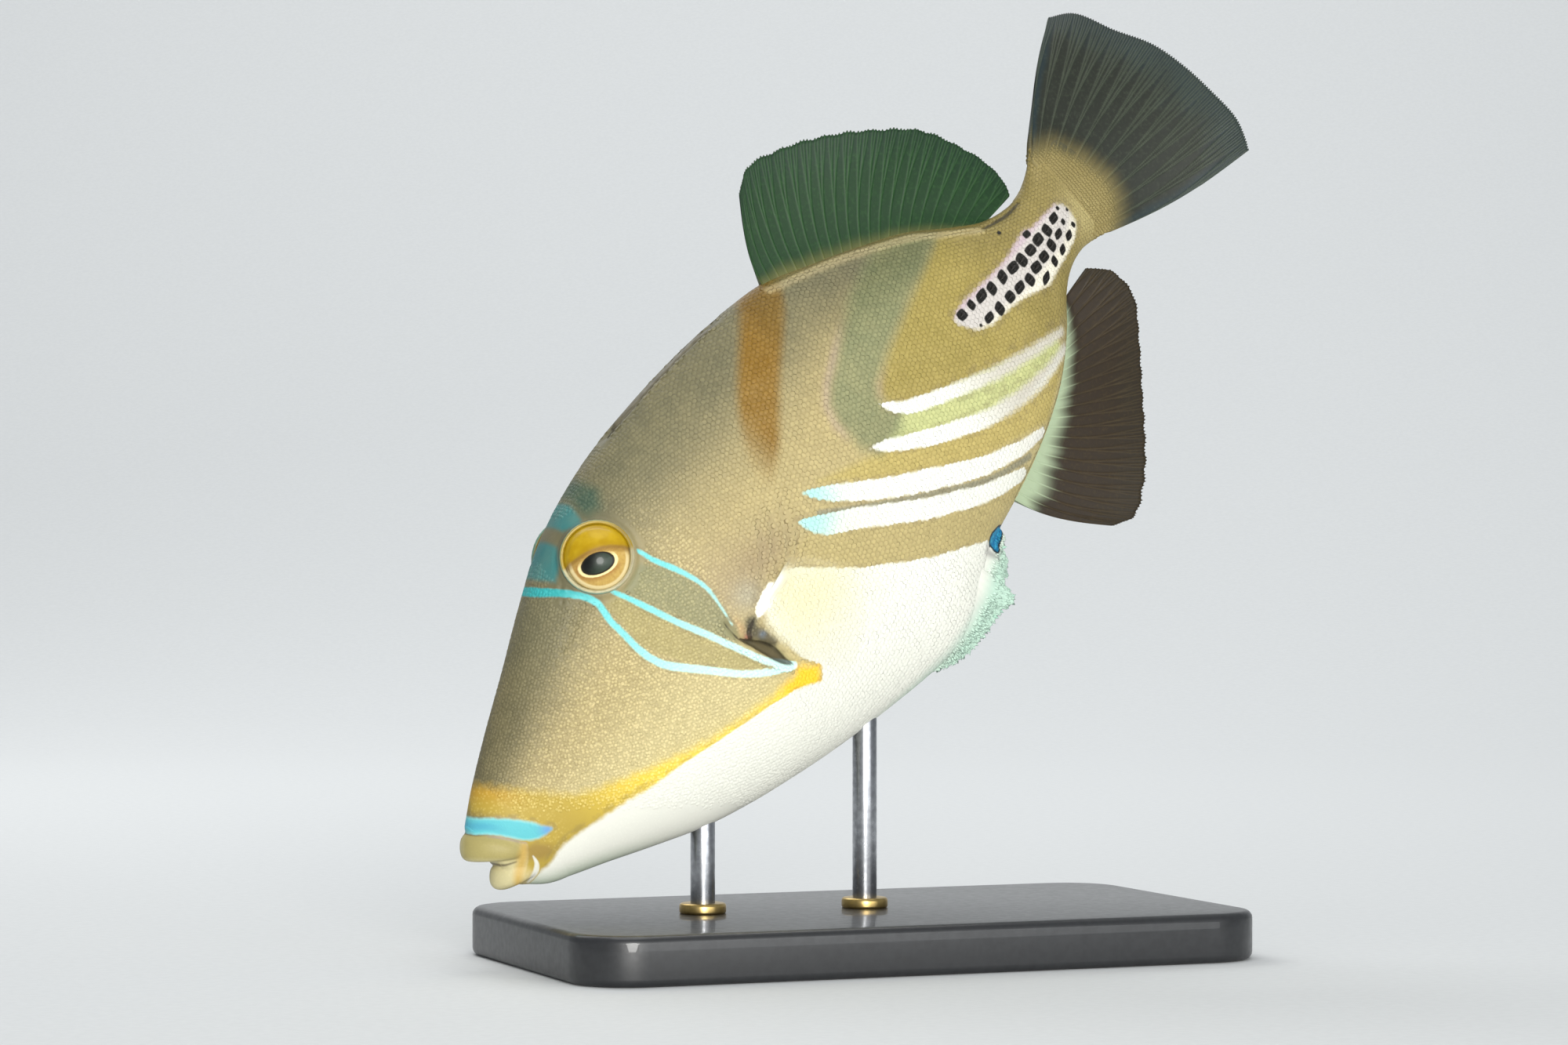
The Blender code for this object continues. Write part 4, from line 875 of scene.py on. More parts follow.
def fin_finish(name, foot_colour, clear, web, web_edge, ray_colour):
    """A clear membrane with fine paler rays, tinted at its foot."""
    fin = Finish(name, IOR=1.4, Coat_Weight=0.05, Coat_Roughness=0.3)
    ray, out, foot = fin.attribute("ray"), fin.attribute("out"), fin.attribute("foot")
    cloud, fine = fin.noise(0.22, 3), fin.noise(1.8, 3)
    skin = fin.mix(fin.step(fin.attribute("margin") + (cloud - 0.5) * 0.6, 0.3, 0.9), web, web_edge)
    skin = fin.mix(fin.step(fine, 0.45, 0.85) * 0.35, skin, ray_colour)
    wave = {"wave_type": "BANDS", "bands_direction": "X", "wave_profile": "SIN"}
    joints = fin.node("ShaderNodeTexWave", wave, {"Vector": fin.vector(out), "Scale": 26.0})
    colour = fin.mix(ray * (0.2 + 0.6 * cloud - 0.15 * joints), skin, ray_colour)
    colour = fin.mix(foot, colour, fin.mix((1 - ray) * 0.2, foot_colour, fin.mix(0.5, foot_colour, web)))
    alpha = (clear + ray * 0.05 + foot * (1 - clear) + (fine - 0.5) * 0.1).least(1.0)
    bumps = fin.bump(ray * joints, 0.03, fin.bump(fine, 0.02))
    return fin.show(Base_Color=colour, Alpha=alpha, Roughness=0.5 + 0.25 * fine, Normal=bumps)


def eye_finish():
    """The eye's face by its own two directions: yellow cap, gold iris, cream rims and dark pupil."""
    eye = Finish("eye_face", Roughness=0.35, Specular_IOR_Level=0.2, Coat_Weight=0.16, Coat_Roughness=0.06)
    x, y, cap = eye.attribute("eye_x"), eye.attribute("eye_y"), eye.attribute("cap")
    lean = math.radians(17)
    aside, down = x - 0.1, y + 1.37
    long_way = (aside * math.cos(lean) + down * math.sin(lean)) / 2.65
    short_way = (down * math.cos(lean) - aside * math.sin(lean)) / 1.6
    pupil = (long_way * long_way + short_way * short_way).root()
    side, low = x - 0.2, y + 0.4
    ring = (side * side + low * low).root()
    turn = side.maths("ARCTAN2", low, side)
    spoke_inputs = {"Vector": eye.vector(turn, ring * 0.16), "Scale": 9.0, "Detail": 3.0}
    spokes = eye.node("ShaderNodeTexNoise", None, spoke_inputs, "Fac")
    fine = eye.noise(1.6, 3)
    iris = eye.mix(eye.step(spokes, 0.35, 0.75) * 0.5, IRIS, paint(158, 120, 56))
    iris = eye.mix(eye.step(fine, 0.45, 0.8) * 0.3, iris, paint(220, 194, 130))
    iris = eye.mix(eye.step(pupil, 1.75, 1.2) * eye.step(y, -0.6, -2.4) * 0.75, iris, paint(146, 96, 44))
    cream = eye.step((ring - 4.6).size(), 0.4, 0.1)
    iris = eye.mix(cream * eye.step(y, 1.6, -1.0) * 0.8, iris, paint(226, 210, 160))
    iris = eye.mix(eye.step(ring, 4.8, 5.0) * 0.8, iris, paint(150, 136, 92))
    iris = eye.mix(eye.step((ring - 5.2).size(), 0.22, 0.06) * 0.8, iris, paint(196, 186, 146))
    cap_edge = cap + (spokes - 0.5) * 0.3
    # A painted shadow under the yellow cap's lower edge, across the top of the iris.
    iris = eye.mix(eye.step(cap_edge, -1.5, -0.2) * 0.75, iris, paint(116, 80, 22))
    edge = pupil + (spokes - 0.5) * 0.05
    colour = eye.mix(eye.step(edge, 1.3, 1.2) * eye.step(short_way, 0.9, 0.1), iris, RIM_CREAM)
    colour = eye.mix(eye.step(edge, 1.09, 1.02), colour, paint(30, 24, 14))
    glint = eye.step(long_way - 0.5 * short_way + (fine - 0.5) * 0.5, -0.75, 0.6)
    inner = eye.mix(glint, PUPIL, paint(46, 58, 46))
    colour = eye.mix(eye.step(edge, 0.96, 0.86), colour, inner)
    top = eye.mix(eye.step(eye.noise(0.5, 2), 0.3, 0.7), EYE_YELLOW, paint(182, 150, 24))
    top = eye.mix(eye.step(cap, 1.3, 0.1) * 0.45, top, paint(140, 106, 12))
    colour = eye.mix(eye.step(cap_edge, -0.3, 0.25), colour, top)
    return eye.show(Base_Color=colour)


def plain_finish(name, colour, dark, scale, depth, rough, **constants):
    """A finish in two near shades with a fine grain."""
    made = Finish(name, **constants)
    grain = made.noise(scale, 4)
    shade = made.mix(made.step(grain, 0.3, 0.7), colour, dark)
    return made.show(Base_Color=shade, Roughness=rough + 0.15 * grain, Normal=made.bump(grain, depth))


# The skin.

def skin_rings():
    """For each station along the body, the points of its half section at even spacing."""
    runs = [np.linspace(start, end, count, endpoint=False) for start, end, count in STATION_RUNS]
    stations = np.concatenate([*runs, [BODY_END]])
    turns = np.linspace(math.pi / 2, -math.pi / 2, 1201)
    halves = []
    for u in stations:
        y, v = section(u, turns)
        along = np.concatenate([[0], np.cumsum(np.hypot(np.diff(y), np.diff(v)))])
        even = np.linspace(0, along[-1], RING // 2 + 1)
        y, v = np.interp(even, along, y), np.interp(even, along, v)
        halves.append(np.stack([np.full(len(even), u), y, v], -1))
    return np.array(halves)


def eye_frame(side):
    """An eye's seat and the three directions of its face: out of the head, back and up in the view."""
    seat = np.array([EYE_U, side * float(flank(EYE_U, EYE_V)), EYE_V])
    axis = EYE_AXIS * np.array([1, side, 1])
    level = np.array([math.cos(PITCH), 0, -math.sin(PITCH)])
    across = unit(level - axis * (level @ axis))
    return seat, axis, across, np.cross(axis, across) * -side


def relief(places):
    """How far each point of the skin stands out from the body's plain form."""
    u, y, v = np.moveaxis(places, -1, 0)
    rise = np.full(u.shape, -COAT_DEPTH)
    for side in SIDES.values():
        seat, axis, _, _ = eye_frame(side)
        apart = places - seat
        high = apart @ axis
        away = np.linalg.norm(apart - high[..., None] * axis, axis=-1)
        near = (np.abs(high) < 5) & (y * side > 0)
        ring = sum(height * ridge(away, middle, width) for height, middle, width in SOCKET_RINGS)
        rise += np.where(near, ring - 1.2 * smooth((5.3 - away) / 0.5), 0)
    rise -= 1.6 * smooth((0.3 - band(u, v, SLIT)) / 0.6)
    rise += 0.28 * ridge(band(u + 1.0, v, SLIT), 0.1, 0.7) * (u < 57)
    for line in SKIN_FOLDS:
        fold = band(u, v, line)
        rise += 0.06 * ridge(fold, 0.75, 0.45) - 0.06 * ridge(fold, 0, 0.3)
    for line in CREASES:
        rise -= 0.25 * beside(band(u, v, line), 0.25)
    rise += 0.26 * ridge(band(u, v, SHEATH_LINE), 0, 0.4)
    groove = smooth((u - 60) / 4) * smooth((91 - u) / 5) * (v > 20)
    rise -= 0.85 * groove * smooth((1.6 - np.abs(y)) / 0.6)
    rise += 0.12 * groove * ridge(np.abs(y), 2.0, 0.4)
    for nostril_u, nostril_v, size in NOSTRILS:
        hole = np.hypot(u - nostril_u, v - nostril_v) / size
        rise += 0.2 * ridge(hole, 1.2, 0.45) - 0.5 * smooth(1 - hole)
    return rise - 0.2 * ridge(band(u, v, NOSE_RIDGE), 0, 0.6)


def normals_of(places):
    """Outward normals of a ring grid, whose columns run round the body."""
    along = np.gradient(places, axis=0)
    around = np.roll(places[:, :-1], -1, axis=1) - np.roll(places[:, :-1], 1, axis=1)
    around = np.concatenate([around, around[:, :1]], axis=1)
    normal = unit(np.cross(along, around))
    middle = np.stack([places[..., 0], 0 * places[..., 1], widest_level(places[..., 0])], -1)
    return normal * np.sign(np.sum(normal * (places - middle), axis=-1, keepdims=True))


def skin_shape():
    """The body's plain form as a grid of places round it, then the skin's own places and normals."""
    half = skin_rings()
    mirrored = half[:, -2::-1] * np.array([1, -1, 1])
    plain = np.concatenate([half, mirrored], axis=1)
    normals = normals_of(plain)
    places = plain + normals * relief(plain)[..., None]
    return plain, places, normals_of(places)


def end_rings(ring):
    """Rings that round off the snout's open end."""
    return np.array([SNOUT_CENTRE + (ring - SNOUT_CENTRE) * size + np.array([step, 0, 0])
                     for step, size in SNOUT_RINGS])


def make_skin(finish, plain, places, normals):
    """The skin, sunk under the muzzle at its front and carried on over the tail's foot."""
    front = end_rings(places[0])
    rear, across, out = foot_rings(places[-1])
    flat = np.concatenate([front, plain, rear])
    sink = np.minimum(0.06 * np.maximum(8.9 - plain[..., :1], 0) ** 2, 0.95)
    full = np.concatenate([front, places - normals * sink, rear])
    values = markings(flat[..., 0], flat[..., 2])
    fade = tail_gold(across, out).reshape(rear.shape[:2])
    foot = values["ground"][-len(rear):]
    foot[:] = lay(foot, smooth((fade - 1.0) / -0.7), paint(66, 66, 50))
    values.update(dome=0.35, tint=0.0, pebbly=0.6 * smooth((14 - flat[..., 0]) / 3))
    along = np.concatenate([[0], np.cumsum(np.linalg.norm(np.diff(full[:, RING // 4], axis=0), axis=1))])
    around = np.linspace(0, 1, RING + 1)
    unwrap = np.broadcast_arrays(0.01 + 0.98 * along[:, None] / along[-1], 0.01 + 0.98 * around)
    skin = lay_out("skin", full, values, np.stack(unwrap, -1))
    return belongs(skin, finish, "skin", "head", "torso", "tail_stalk")


# The scales.

def scale_shape():
    """One scale, from a six-sided disc: its rim sunk in the skin, its face slightly domed."""
    clear_selection()
    bpy.ops.mesh.primitive_circle_add(vertices=6, radius=0.6, fill_type="NGON")
    bpy.ops.object.mode_set(mode="EDIT")
    bpy.ops.mesh.select_all(action="SELECT")
    bpy.ops.mesh.extrude_region_move(TRANSFORM_OT_translate={"value": (0, 0, 1.0)})
    bpy.ops.transform.resize(value=(0.68, 0.68, 1), center_override=(0, 0, 1))
    bpy.ops.mesh.poke(offset=0.3)
    bpy.ops.object.mode_set(mode="OBJECT")
    pattern = bpy.context.object
    places = np.array([point.co for point in pattern.data.vertices])[:, [1, 0, 2]]
    faces = [list(face.vertices) for face in pattern.data.polygons]
    bpy.data.objects.remove(pattern)
    return places, faces


def grid_reader(*grids):
    """Reads grids of the skin between their points, from a station's number and a place round it."""
    def read(row, column):
        row = np.clip(row, 0, len(grids[0]) - 1.001)
        column = np.clip(column, 0, RING - 0.001)
        i, j = row.astype(int), column.astype(int)
        fi, fj = (row - i)[:, None], (column - j)[:, None]
        return [(grid[i, j] * (1 - fi) + grid[i + 1, j] * fi) * (1 - fj)
                + (grid[i, j + 1] * (1 - fi) + grid[i + 1, j + 1] * fi) * fj for grid in grids]
    return read


def scale_roots(plain, side):
    """Where the scales of a side are rooted, row by row: station number, place round the ring, pitch."""
    stations = plain[:, 0, 0]
    half = RING // 2
    girth = np.linalg.norm(np.diff(plain[:, :half + 1], axis=1), axis=2).sum(axis=1)
    widest = np.abs(plain[:, :half + 1, 1]).argmax(axis=1) / half
    widest = profile(list(zip(stations[::24], widest[::24])))(stations)
    pitch_at = profile(SCALE_PITCH)
    roots = []
    along = SCALE_START
    row = 0
    while along < SCALE_END:
        pitch = float(pitch_at(along))
        place = np.interp(along, stations, np.arange(len(stations)))
        total, middle = np.interp(along, stations, girth), np.interp(along, stations, widest)
        lowest = -math.floor(middle * total / pitch)
        highest = math.floor((1 - middle) * total / pitch)
        around = middle + (np.arange(lowest, highest + 1) + 0.5 * (row % 2)) * pitch / total
        around = around[(around > 0.003) & (around < 0.997)]
        column = around * half if side > 0 else RING - around * half
        roots += [(place, c, pitch) for c in column]
        along += pitch * 0.87
        row += 1
    return np.array(roots)


def room(u, v):
    """How far places are from where no scale grows: eyes, nostrils, slit, folds, vent, groove, mouth."""
    away = [np.hypot(u - hole_u, v - hole_v) - 2.2 * size for hole_u, hole_v, size in NOSTRILS]
    away += [band(u, v, line) - 0.12 for line in SKIN_FOLDS]
    away += [np.hypot(u - EYE_U, v - EYE_V) - 7.3, band(u, v, SLIT) - 0.6, region(u, v, VENT) - 0.2]
    away.append(np.maximum(np.abs(u - 74.7) - 14.2, back(u) - 0.2 - v))
    mouth = np.minimum((u + v - 7.5) / 1.41, np.maximum(u - 8.4, v - 1.5))
    return np.min([*away, 0.25 * np.minimum(mouth, band(u, v, LIP_STRIPE) - 0.5)], axis=0)


def grow_scales(name, finish, roots, shape):
    """Scales as one mesh. Each root has its place and two directions, its size and its look."""
    pattern, faces = shape
    count, total = len(pattern), len(roots["place"])
    long, wide, tall, lift = (roots[key][:, None] for key in ("long", "wide", "tall", "lift"))
    ahead, across = roots["ahead"][:, None], np.cross(roots["normal"], roots["ahead"])[:, None]
    offsets = pattern[:, :1] * long[..., None] * ahead + pattern[:, 1:2] * wide[..., None] * across
    rise = (pattern[:, 2] - 0.5) * tall + pattern[:, 0] * lift
    points = roots["place"][:, None] + offsets + rise[..., None] * roots["normal"][:, None]
    marks = roots["flat"][:, None] + offsets
    values = markings(marks[..., 0].ravel(), marks[..., 2].ravel())
    centres = markings(roots["flat"][:, 0], roots["flat"][:, 2])
    own = np.repeat(roots["crisp"], count)
    for key in ("pale_a", "pale_b", "yellow"):
        values[key] = own * values[key] + (1 - own) * np.repeat(centres[key], count)
    for key, value in roots.get("marks", {}).items():
        values[key] = np.repeat(value, count, axis=0)
    values["dome"] = np.tile(np.interp(pattern[:, 2], [0, 1, 1.25], [0.0, 0.75, 1.0]), total)
    for key in ("tint", "pebbly"):
        values[key] = np.repeat(roots[key], count)
    mesh = bpy.data.meshes.new(name)
    shifted = [[shift + corner for corner in face]
               for shift in range(0, total * count, count) for face in faces]
    mesh.from_pydata(world(points).reshape(-1, 3), [], shifted)
    scales = bpy.data.objects.new(name, mesh)
    bpy.context.scene.collection.objects.link(scales)
    dress(scales, values, (total * count,))
    homes = roots["home"][:, None] + pattern[:, :2] * SCALE_ON_MAP
    map_corners(mesh.uv_layers.new(name="OFBake"), mesh, homes)
    face_out(scales)
    mesh.shade_smooth()
    return belongs(scales, finish, "skin")


def laid_flat(ways, normals):
    """Directions turned level with the surface that has these normals."""
    return unit(ways - normals * np.sum(ways * normals, axis=1, keepdims=True))


def make_scales(finish, plain, read, shape):
    """The scales of the body, in a front and a rear piece on each side."""
    for side_name, side in SIDES.items():
        roots = scale_roots(plain, side)
        wobble = draw.normal(0, 1, (len(roots), 7))
        spread = 0.1 + 0.12 * smooth((62 - plain[roots[:, 0].astype(int), 0, 0]) / 8)
        row, column = roots[:, 0] + wobble[:, 0] * spread, roots[:, 1] + wobble[:, 1] * spread
        flat, place, normal = read(row, column)
        keep = room(flat[:, 0], flat[:, 2]) > 0.25 * np.abs(wobble[:, 6])
        pitch, wobble, row, column = roots[keep, 2], wobble[keep], row[keep], column[keep]
        flat, place, normal = flat[keep], place[keep], unit(normal[keep])
        rear, front = read(row + 0.5, column), read(row - 0.5, column)
        ahead = (rear[1] - front[1]) / (rear[0] - front[0])[:, :1]
        stretch = np.clip(np.linalg.norm(ahead, axis=1), 1, 1.5)
        u, v = flat[:, 0], flat[:, 2]
        head = smooth((58 - u + 0.25 * v) / 5)
        height = (v - belly(u)) / (back(u) - belly(u))
        strips = np.minimum(region(u, v, EYE_STRIPE_FIELD), region(u, v, SHOULDER_FIELD))
        even = 1 - 0.6 * soft(region(u, v, BELLY_PATCH), 1.5) - 0.4 * smooth((14 - u) / 6)
        pebbly = (0.12 + 0.88 * head * smooth((0.95 - height) / 0.3)) * (1 - 0.6 * soft(strips, 0.5))
        made = {"flat": flat, "place": place, "normal": normal, "ahead": laid_flat(ahead, normal),
                "long": pitch * stretch * (1.0 + 0.08 * wobble[:, 2]),
                "wide": pitch * (1.0 + 0.07 * wobble[:, 3]),
                "tall": (0.036 + 0.026 * head) * (1 + 0.25 * np.clip(wobble[:, 4], -2, 2)) * even,
                "lift": (0.022 - 0.022 * head) * even, "tint": np.clip(wobble[:, 5], -2, 2) * 0.5,
                "pebbly": pebbly, "crisp": 0.5 + 0.4 * head,
                "home": np.stack([0.01 + 0.98 * row / len(plain), 0.01 + 0.98 * column / RING], -1)}
        for part, chosen in (("front", u < SCALE_SPLIT), ("rear", u >= SCALE_SPLIT)):
            of_part = {key: value[chosen] for key, value in made.items()}
            grow_scales(f"scales_{side_name}_{part}", finish, of_part, shape)


def blade_roots(point, a, o, side, thick):
    """Roots of scales at places on the two sides of a blade, so far from its middle surface."""
    middle = point(a, o)
    ahead = unit(point(a, o + 0.01) - middle)
    normal = unit(np.cross(ahead, point(a + 0.01, o) - middle))
    normal *= np.sign(normal[:, 1:2] * side[:, None])
    return {"flat": middle, "place": middle + normal * thick[:, None], "normal": normal,
            "ahead": laid_flat(ahead, normal), "crisp": 0 * a + 0.5,
            "home": np.stack([0.02 + 0.96 * a, 0.02 + 0.96 * o], -1)}


# Fins.

def fin_sheet(name, point, across, out, raised, thickness, values):
    """A closed fin from its middle surface: one face laid out, then the other, joined at the edges."""
    a, o = np.meshgrid(across, out, indexing="ij")
    middle = point(a, o)
    along = np.gradient(middle, axis=1)
    wide = np.gradient(middle, axis=0)
    normal = unit(np.cross(wide, along))
    half = (thickness(o) + raised)[..., None]
    faces = np.concatenate([middle + normal * half, (middle - normal * half)[:, ::-1]], axis=1)
    faces = np.concatenate([faces, faces[:, :1]], axis=1)
    doubled = {key: np.concatenate([value, value[:, ::-1], value[:, :1]], axis=1)
               for key, value in values.items()}
    return lay_out(name, faces, doubled)


def thinning(edge, foot, reach, power=1.5):
    """A blade's half thickness by how far out it is: at its edge, and so much more at its foot."""
    return lambda o: edge + foot * np.clip(1 - o / reach, 0, 1) ** power


def ray_height(ray, o, height, start):
    """How far the rays stand out of a blade, from a start near its foot."""
    return height * ray * (1 - 0.5 * o) * smooth(o / start)


def ray_pattern(rays, across, out, forks):
    """How strongly each place of a fin belongs to a ray; each ray parts at every fork (start, spread)."""
    a, o = np.meshgrid(across, out, indexing="ij")
    phase = a * rays
    off = np.abs(phase - np.round(phase))
    for start, spread in forks:
        off = np.abs(off - spread * smooth((o - start) / (1 - start)))
    return np.exp(-(off / (0.075 - 0.04 * o)) ** 2)


def body_fin(name, roots, root_line, margin, rays, bow, sway, finish, foot_depth, node):
    """A soft fin on the back or below the stalk, its foot sunk in the skin."""
    tips = path(margin)
    low, high = roots
    sink = math.copysign(FIN_SINK, -margin[0][1])
    across = np.linspace(0, 1, rays * 16 + 1)
    out = np.linspace(0, 1, 34) ** 0.9

    def point(a, o):
        u = low + (high - low) * a
        root = np.stack([u, root_line(u) + sink], -1)
        tip = tips(a ** 1.08)
        lean = np.linalg.norm(tip - root, axis=-1) * bow * np.sin(math.pi * o)
        flat = root + (tip - root) * o[..., None] + np.stack([-lean * (1 - a), 0 * a], -1)
        wave = sway * o * o * np.sin(2 * math.pi * a * 1.2 + 0.6)
        return np.stack([flat[..., 0], wave, flat[..., 1]], -1)

    a, o = np.meshgrid(across, out, indexing="ij")
    ray = ray_pattern(rays - 1, across, out, ((0.3, 0.23), (0.6, 0.11)))
    notch = 1 - 0.014 * o ** 6 * (1 - ray) + 0.006 * np.sin(a * 91) * o ** 8
    streaks = 0.5 + 0.5 * np.sin(a * 61 + 2 * np.sin(a * 23))
    foot = soft(o - foot_depth * (1.2 - 0.6 * a) * (0.9 + 0.2 * streaks + 0.3 * ray), 0.22)
    fin = fin_sheet(name, lambda x, y: point(x, y * notch), across, out, ray_height(ray, o, 0.14, 0.06),
                    thinning(0.15, 0.8, 0.3), {"ray": ray, "out": o, "foot": foot, "margin": o ** 2})
    belongs(fin, finish, "fins", node)


def tail_flat(a, o):
    """A place on the tail fin laid flat, from how far across and how far out it is."""
    top, bottom = float(back(TAIL_ROOT)) - 0.1, float(belly(TAIL_ROOT)) + 0.4
    level = top + (bottom - top) * a - TAIL_CENTRE[1]
    root = np.stack([np.full(a.shape, TAIL_ROOT - TAIL_CENTRE[0]), level], -1)
    bend = np.stack([0 * a, TAIL_BOW * np.sin(math.pi * o) * (1 - 1.6 * a)], -1)
    return root + (path(TAIL_MARGIN)(a) - root) * o[..., None] + bend


def tail_point(a, o):
    """The same place with the tail's twist."""
    flat = tail_flat(a, o)
    share = np.clip((flat[..., 1] - 4) / 18, -1, 1)
    turn = np.radians(TAIL_TWIST[0] + TAIL_TWIST[1] * share) * o
    length = flat[..., 0] - (TAIL_ROOT - TAIL_CENTRE[0])
    return np.stack([TAIL_ROOT + length * np.cos(turn), length * np.sin(turn),
                     TAIL_CENTRE[1] + flat[..., 1]], -1)


def tail_gold(a, o):
    """How gold the tail is, feathered out along its rays."""
    flat = tail_flat(a, o)
    streaks = 0.3 * np.sin(a * 151) * np.sin(a * 47 + 1)
    inside = region(flat[..., 0] + TAIL_CENTRE[0], flat[..., 1] + TAIL_CENTRE[1], TAIL_GOLD_EDGE)
    return soft(inside + 0.5 + streaks, 6.6)


tail_half = thinning(0.16, 1.05, 0.35)


def foot_half(a, o):
    """Half the thickness where the stalk thins into the tail fin."""
    level = float(back(BODY_END)) + (float(belly(BODY_END)) - float(back(BODY_END))) * a
    extra = np.maximum(flank(BODY_END, level) - tail_half(0.05), 0.1) * (1 - smooth((o - 0.03) / 0.25))
    return tail_half(o) + extra - 0.1 * smooth((o - 0.2) / 0.1)


def foot_side(last):
    """How far across the tail each point of the skin's last ring lies, and its share of the half width."""
    top, bottom = float(back(BODY_END)) + 0.1, float(belly(BODY_END)) - 0.1
    across = np.clip((top - last[:, 2]) / (top - bottom), 0, 1)
    return across, np.clip(last[:, 1] / np.maximum(flank(BODY_END, last[:, 2]), 0.4), -1, 1)


def foot_rings(last):
    """Rings that carry the skin on, thinner and thinner, over the foot of the tail fin."""
    across, side = foot_side(last)
    out = np.linspace(0.075, 0.31, 15)
    o, a = np.meshgrid(out, across, indexing="ij")
    a = 0.5 + (a - 0.5) * (1 - 0.03 * smooth(o / 0.15))
    middle = tail_point(a, o)
    normal = unit(np.cross(tail_point(a + 0.01, o) - middle, tail_point(a, o + 0.01) - middle))
    normal *= np.sign(normal[..., 1:2])
    return middle + normal * (side * foot_half(a, o))[..., None], a, o


def make_tail(finish):
    """The tail fin's blade."""
    across = np.linspace(0, 1, TAIL_RAYS * 40 + 1)
    out = np.linspace(0, 1, 44)
    a, o = np.meshgrid(across, out, indexing="ij")
    edge = np.minimum(a, 1 - a)
    ray = ray_pattern(TAIL_RAYS, across, out, ((0.12, 0.25), (0.35, 0.125), (0.62, 0.06)))
    ray = np.maximum(ray, ridge(edge, 0, 0.006))
    notch = 1 - 0.01 * o ** 8 * (1 - ray)
    values = {"ray": ray, "out": o, "foot": tail_gold(a, o),
              "margin": np.maximum(o ** 3, smooth((0.1 - edge) / 0.1))}

    def point(x, y):
        return tail_point(0.5 + (x - 0.5) * (0.96 + 0.04 * smooth(y / 0.1)), y * notch)

    tail = fin_sheet("tail_fin_blade", point, across, out, ray_height(ray, o, 0.12, 0.08), tail_half, values)
    belongs(tail, finish, "fins", "tail_fin")


def make_foot_scales(finish, shape, last):
    """The small scales that run out over the tail fin's foot."""
    places = []
    row = 0
    along = FOOT_START
    while along < FOOT_END:
        steps = int((22 + 22 * along) / FOOT_PITCH)
        places += [((number + 0.25 + 0.5 * (row % 2)) / steps, along) for number in range(steps)]
        along += FOOT_STEP
        row += 1
    a, o = np.repeat(places, 2, axis=0).T
    side = np.tile([-1.0, 1.0], len(places))
    wobble = draw.normal(0, 1, (len(a), 3))
    a, o = a + wobble[:, 0] * 0.0015, o + wobble[:, 1] * 0.0015
    gold = tail_gold(a, o)
    keep = (gold + 0.1 * wobble[:, 2] > 0.42) & (a > 0.01) & (a < 0.99)
    a, o, side, wobble, gold = a[keep], o[keep], side[keep], wobble[keep], gold[keep]
    across, share = foot_side(last[:RING // 2 + 1])
    roots = blade_roots(tail_point, a, o, side,
                        np.maximum(foot_half(a, o) * np.interp(a, across, share), tail_half(o)))
    size = 0.25 + 0.75 * smooth((gold - 0.3) / 0.6)
    ground = washes(TAIL_GOLD, a, (1 - smooth((gold - 0.28) / 0.78), paint(86, 82, 50)))
    far = np.full(len(a), FAR)
    roots.update(long=0.58 * size, wide=0.56 * size, tall=0.035 * size, lift=0.01 * size,
                 tint=wobble[:, 2] * 0.4, pebbly=0.1 * gold,
                 marks={"ground": ground, "pale_a": far, "pale_b": far, "yellow": far, "spots": far})
    grow_scales("scales_tail_foot", finish, roots, shape)


def make_pectorals(finish):
    """Both pectoral fins, fanned out and clear but for their front rays."""
    (start_u, start_v), (end_u, end_v) = PECTORAL_ROOT
    length = profile(list(zip((0, 0.35, 1), PECTORAL_LENGTHS)))
    across = np.linspace(0, 1, PECTORAL_RAYS * 12 + 1)
    out = np.linspace(0, 1, 30)
    a, o = np.meshgrid(across, out, indexing="ij")
    ray = ray_pattern(PECTORAL_RAYS - 1, across, out, ((0.4, 0.22),))
    notch = 1 - 0.025 * o ** 6 * (1 - ray)
    lead = ridge(a, 0, 0.075) * smooth((0.95 - o) / 0.4)
    values = {"ray": ray, "out": o, "foot": np.maximum(0.3 * soft(o - 0.1, 0.1), lead), "margin": 0 * o}

    def point(x, y, side):
        u, v = start_u + (end_u - start_u) * x, start_v + (end_v - start_v) * x
        root = np.stack([u, side * (flank(u, v) - PECTORAL_SINK), v], -1)
        turn = np.radians(PECTORAL_SPREAD[0] + (PECTORAL_SPREAD[1] - PECTORAL_SPREAD[0]) * x)
        curl = PECTORAL_FLARE * (1 - 0.35 * y)
        way = np.stack([np.cos(turn) * np.cos(curl), side * np.sin(curl), np.sin(turn) * np.cos(curl)], -1)
        return root + way * ((length(x) + PECTORAL_SINK) * y)[..., None]

    for side_name, side in SIDES.items():
        fin = fin_sheet("pectoral_blade_" + side_name, lambda x, y: point(x, y * notch, side), across, out,
                        ray_height(ray, o, 0.12, 0.08), thinning(0.13, 0.4, 0.35, 1), values)
        belongs(fin, finish, "fins", "pectoral_fin_" + side_name)


def flap_point(x, y):
    """A place on the belly flap's middle surface, its margin frayed."""
    u = FLAP_ROOT[0] + (FLAP_ROOT[1] - FLAP_ROOT[0]) * x
    root = np.stack([u, belly(u) + FLAP_RISE], -1)
    fray = 0.5 + 0.5 * np.sin(x * 171 + 1.4 * np.sin(x * 19))
    tear = (0.02 + 0.05 * smooth((x - 0.4) / 0.3)) * fray * (0.7 + 0.6 * np.sin(x * 43))
    flat = root + (path(FLAP_MARGIN)(x) - root) * (y * (1 - tear * y ** 3))[..., None]
    return np.stack([flat[..., 0], 0.18 * y * np.sin(x * 31), flat[..., 1]], -1)


def flap_half(o):
    return 0.22 + 3.5 * (1 - o) ** 1.25


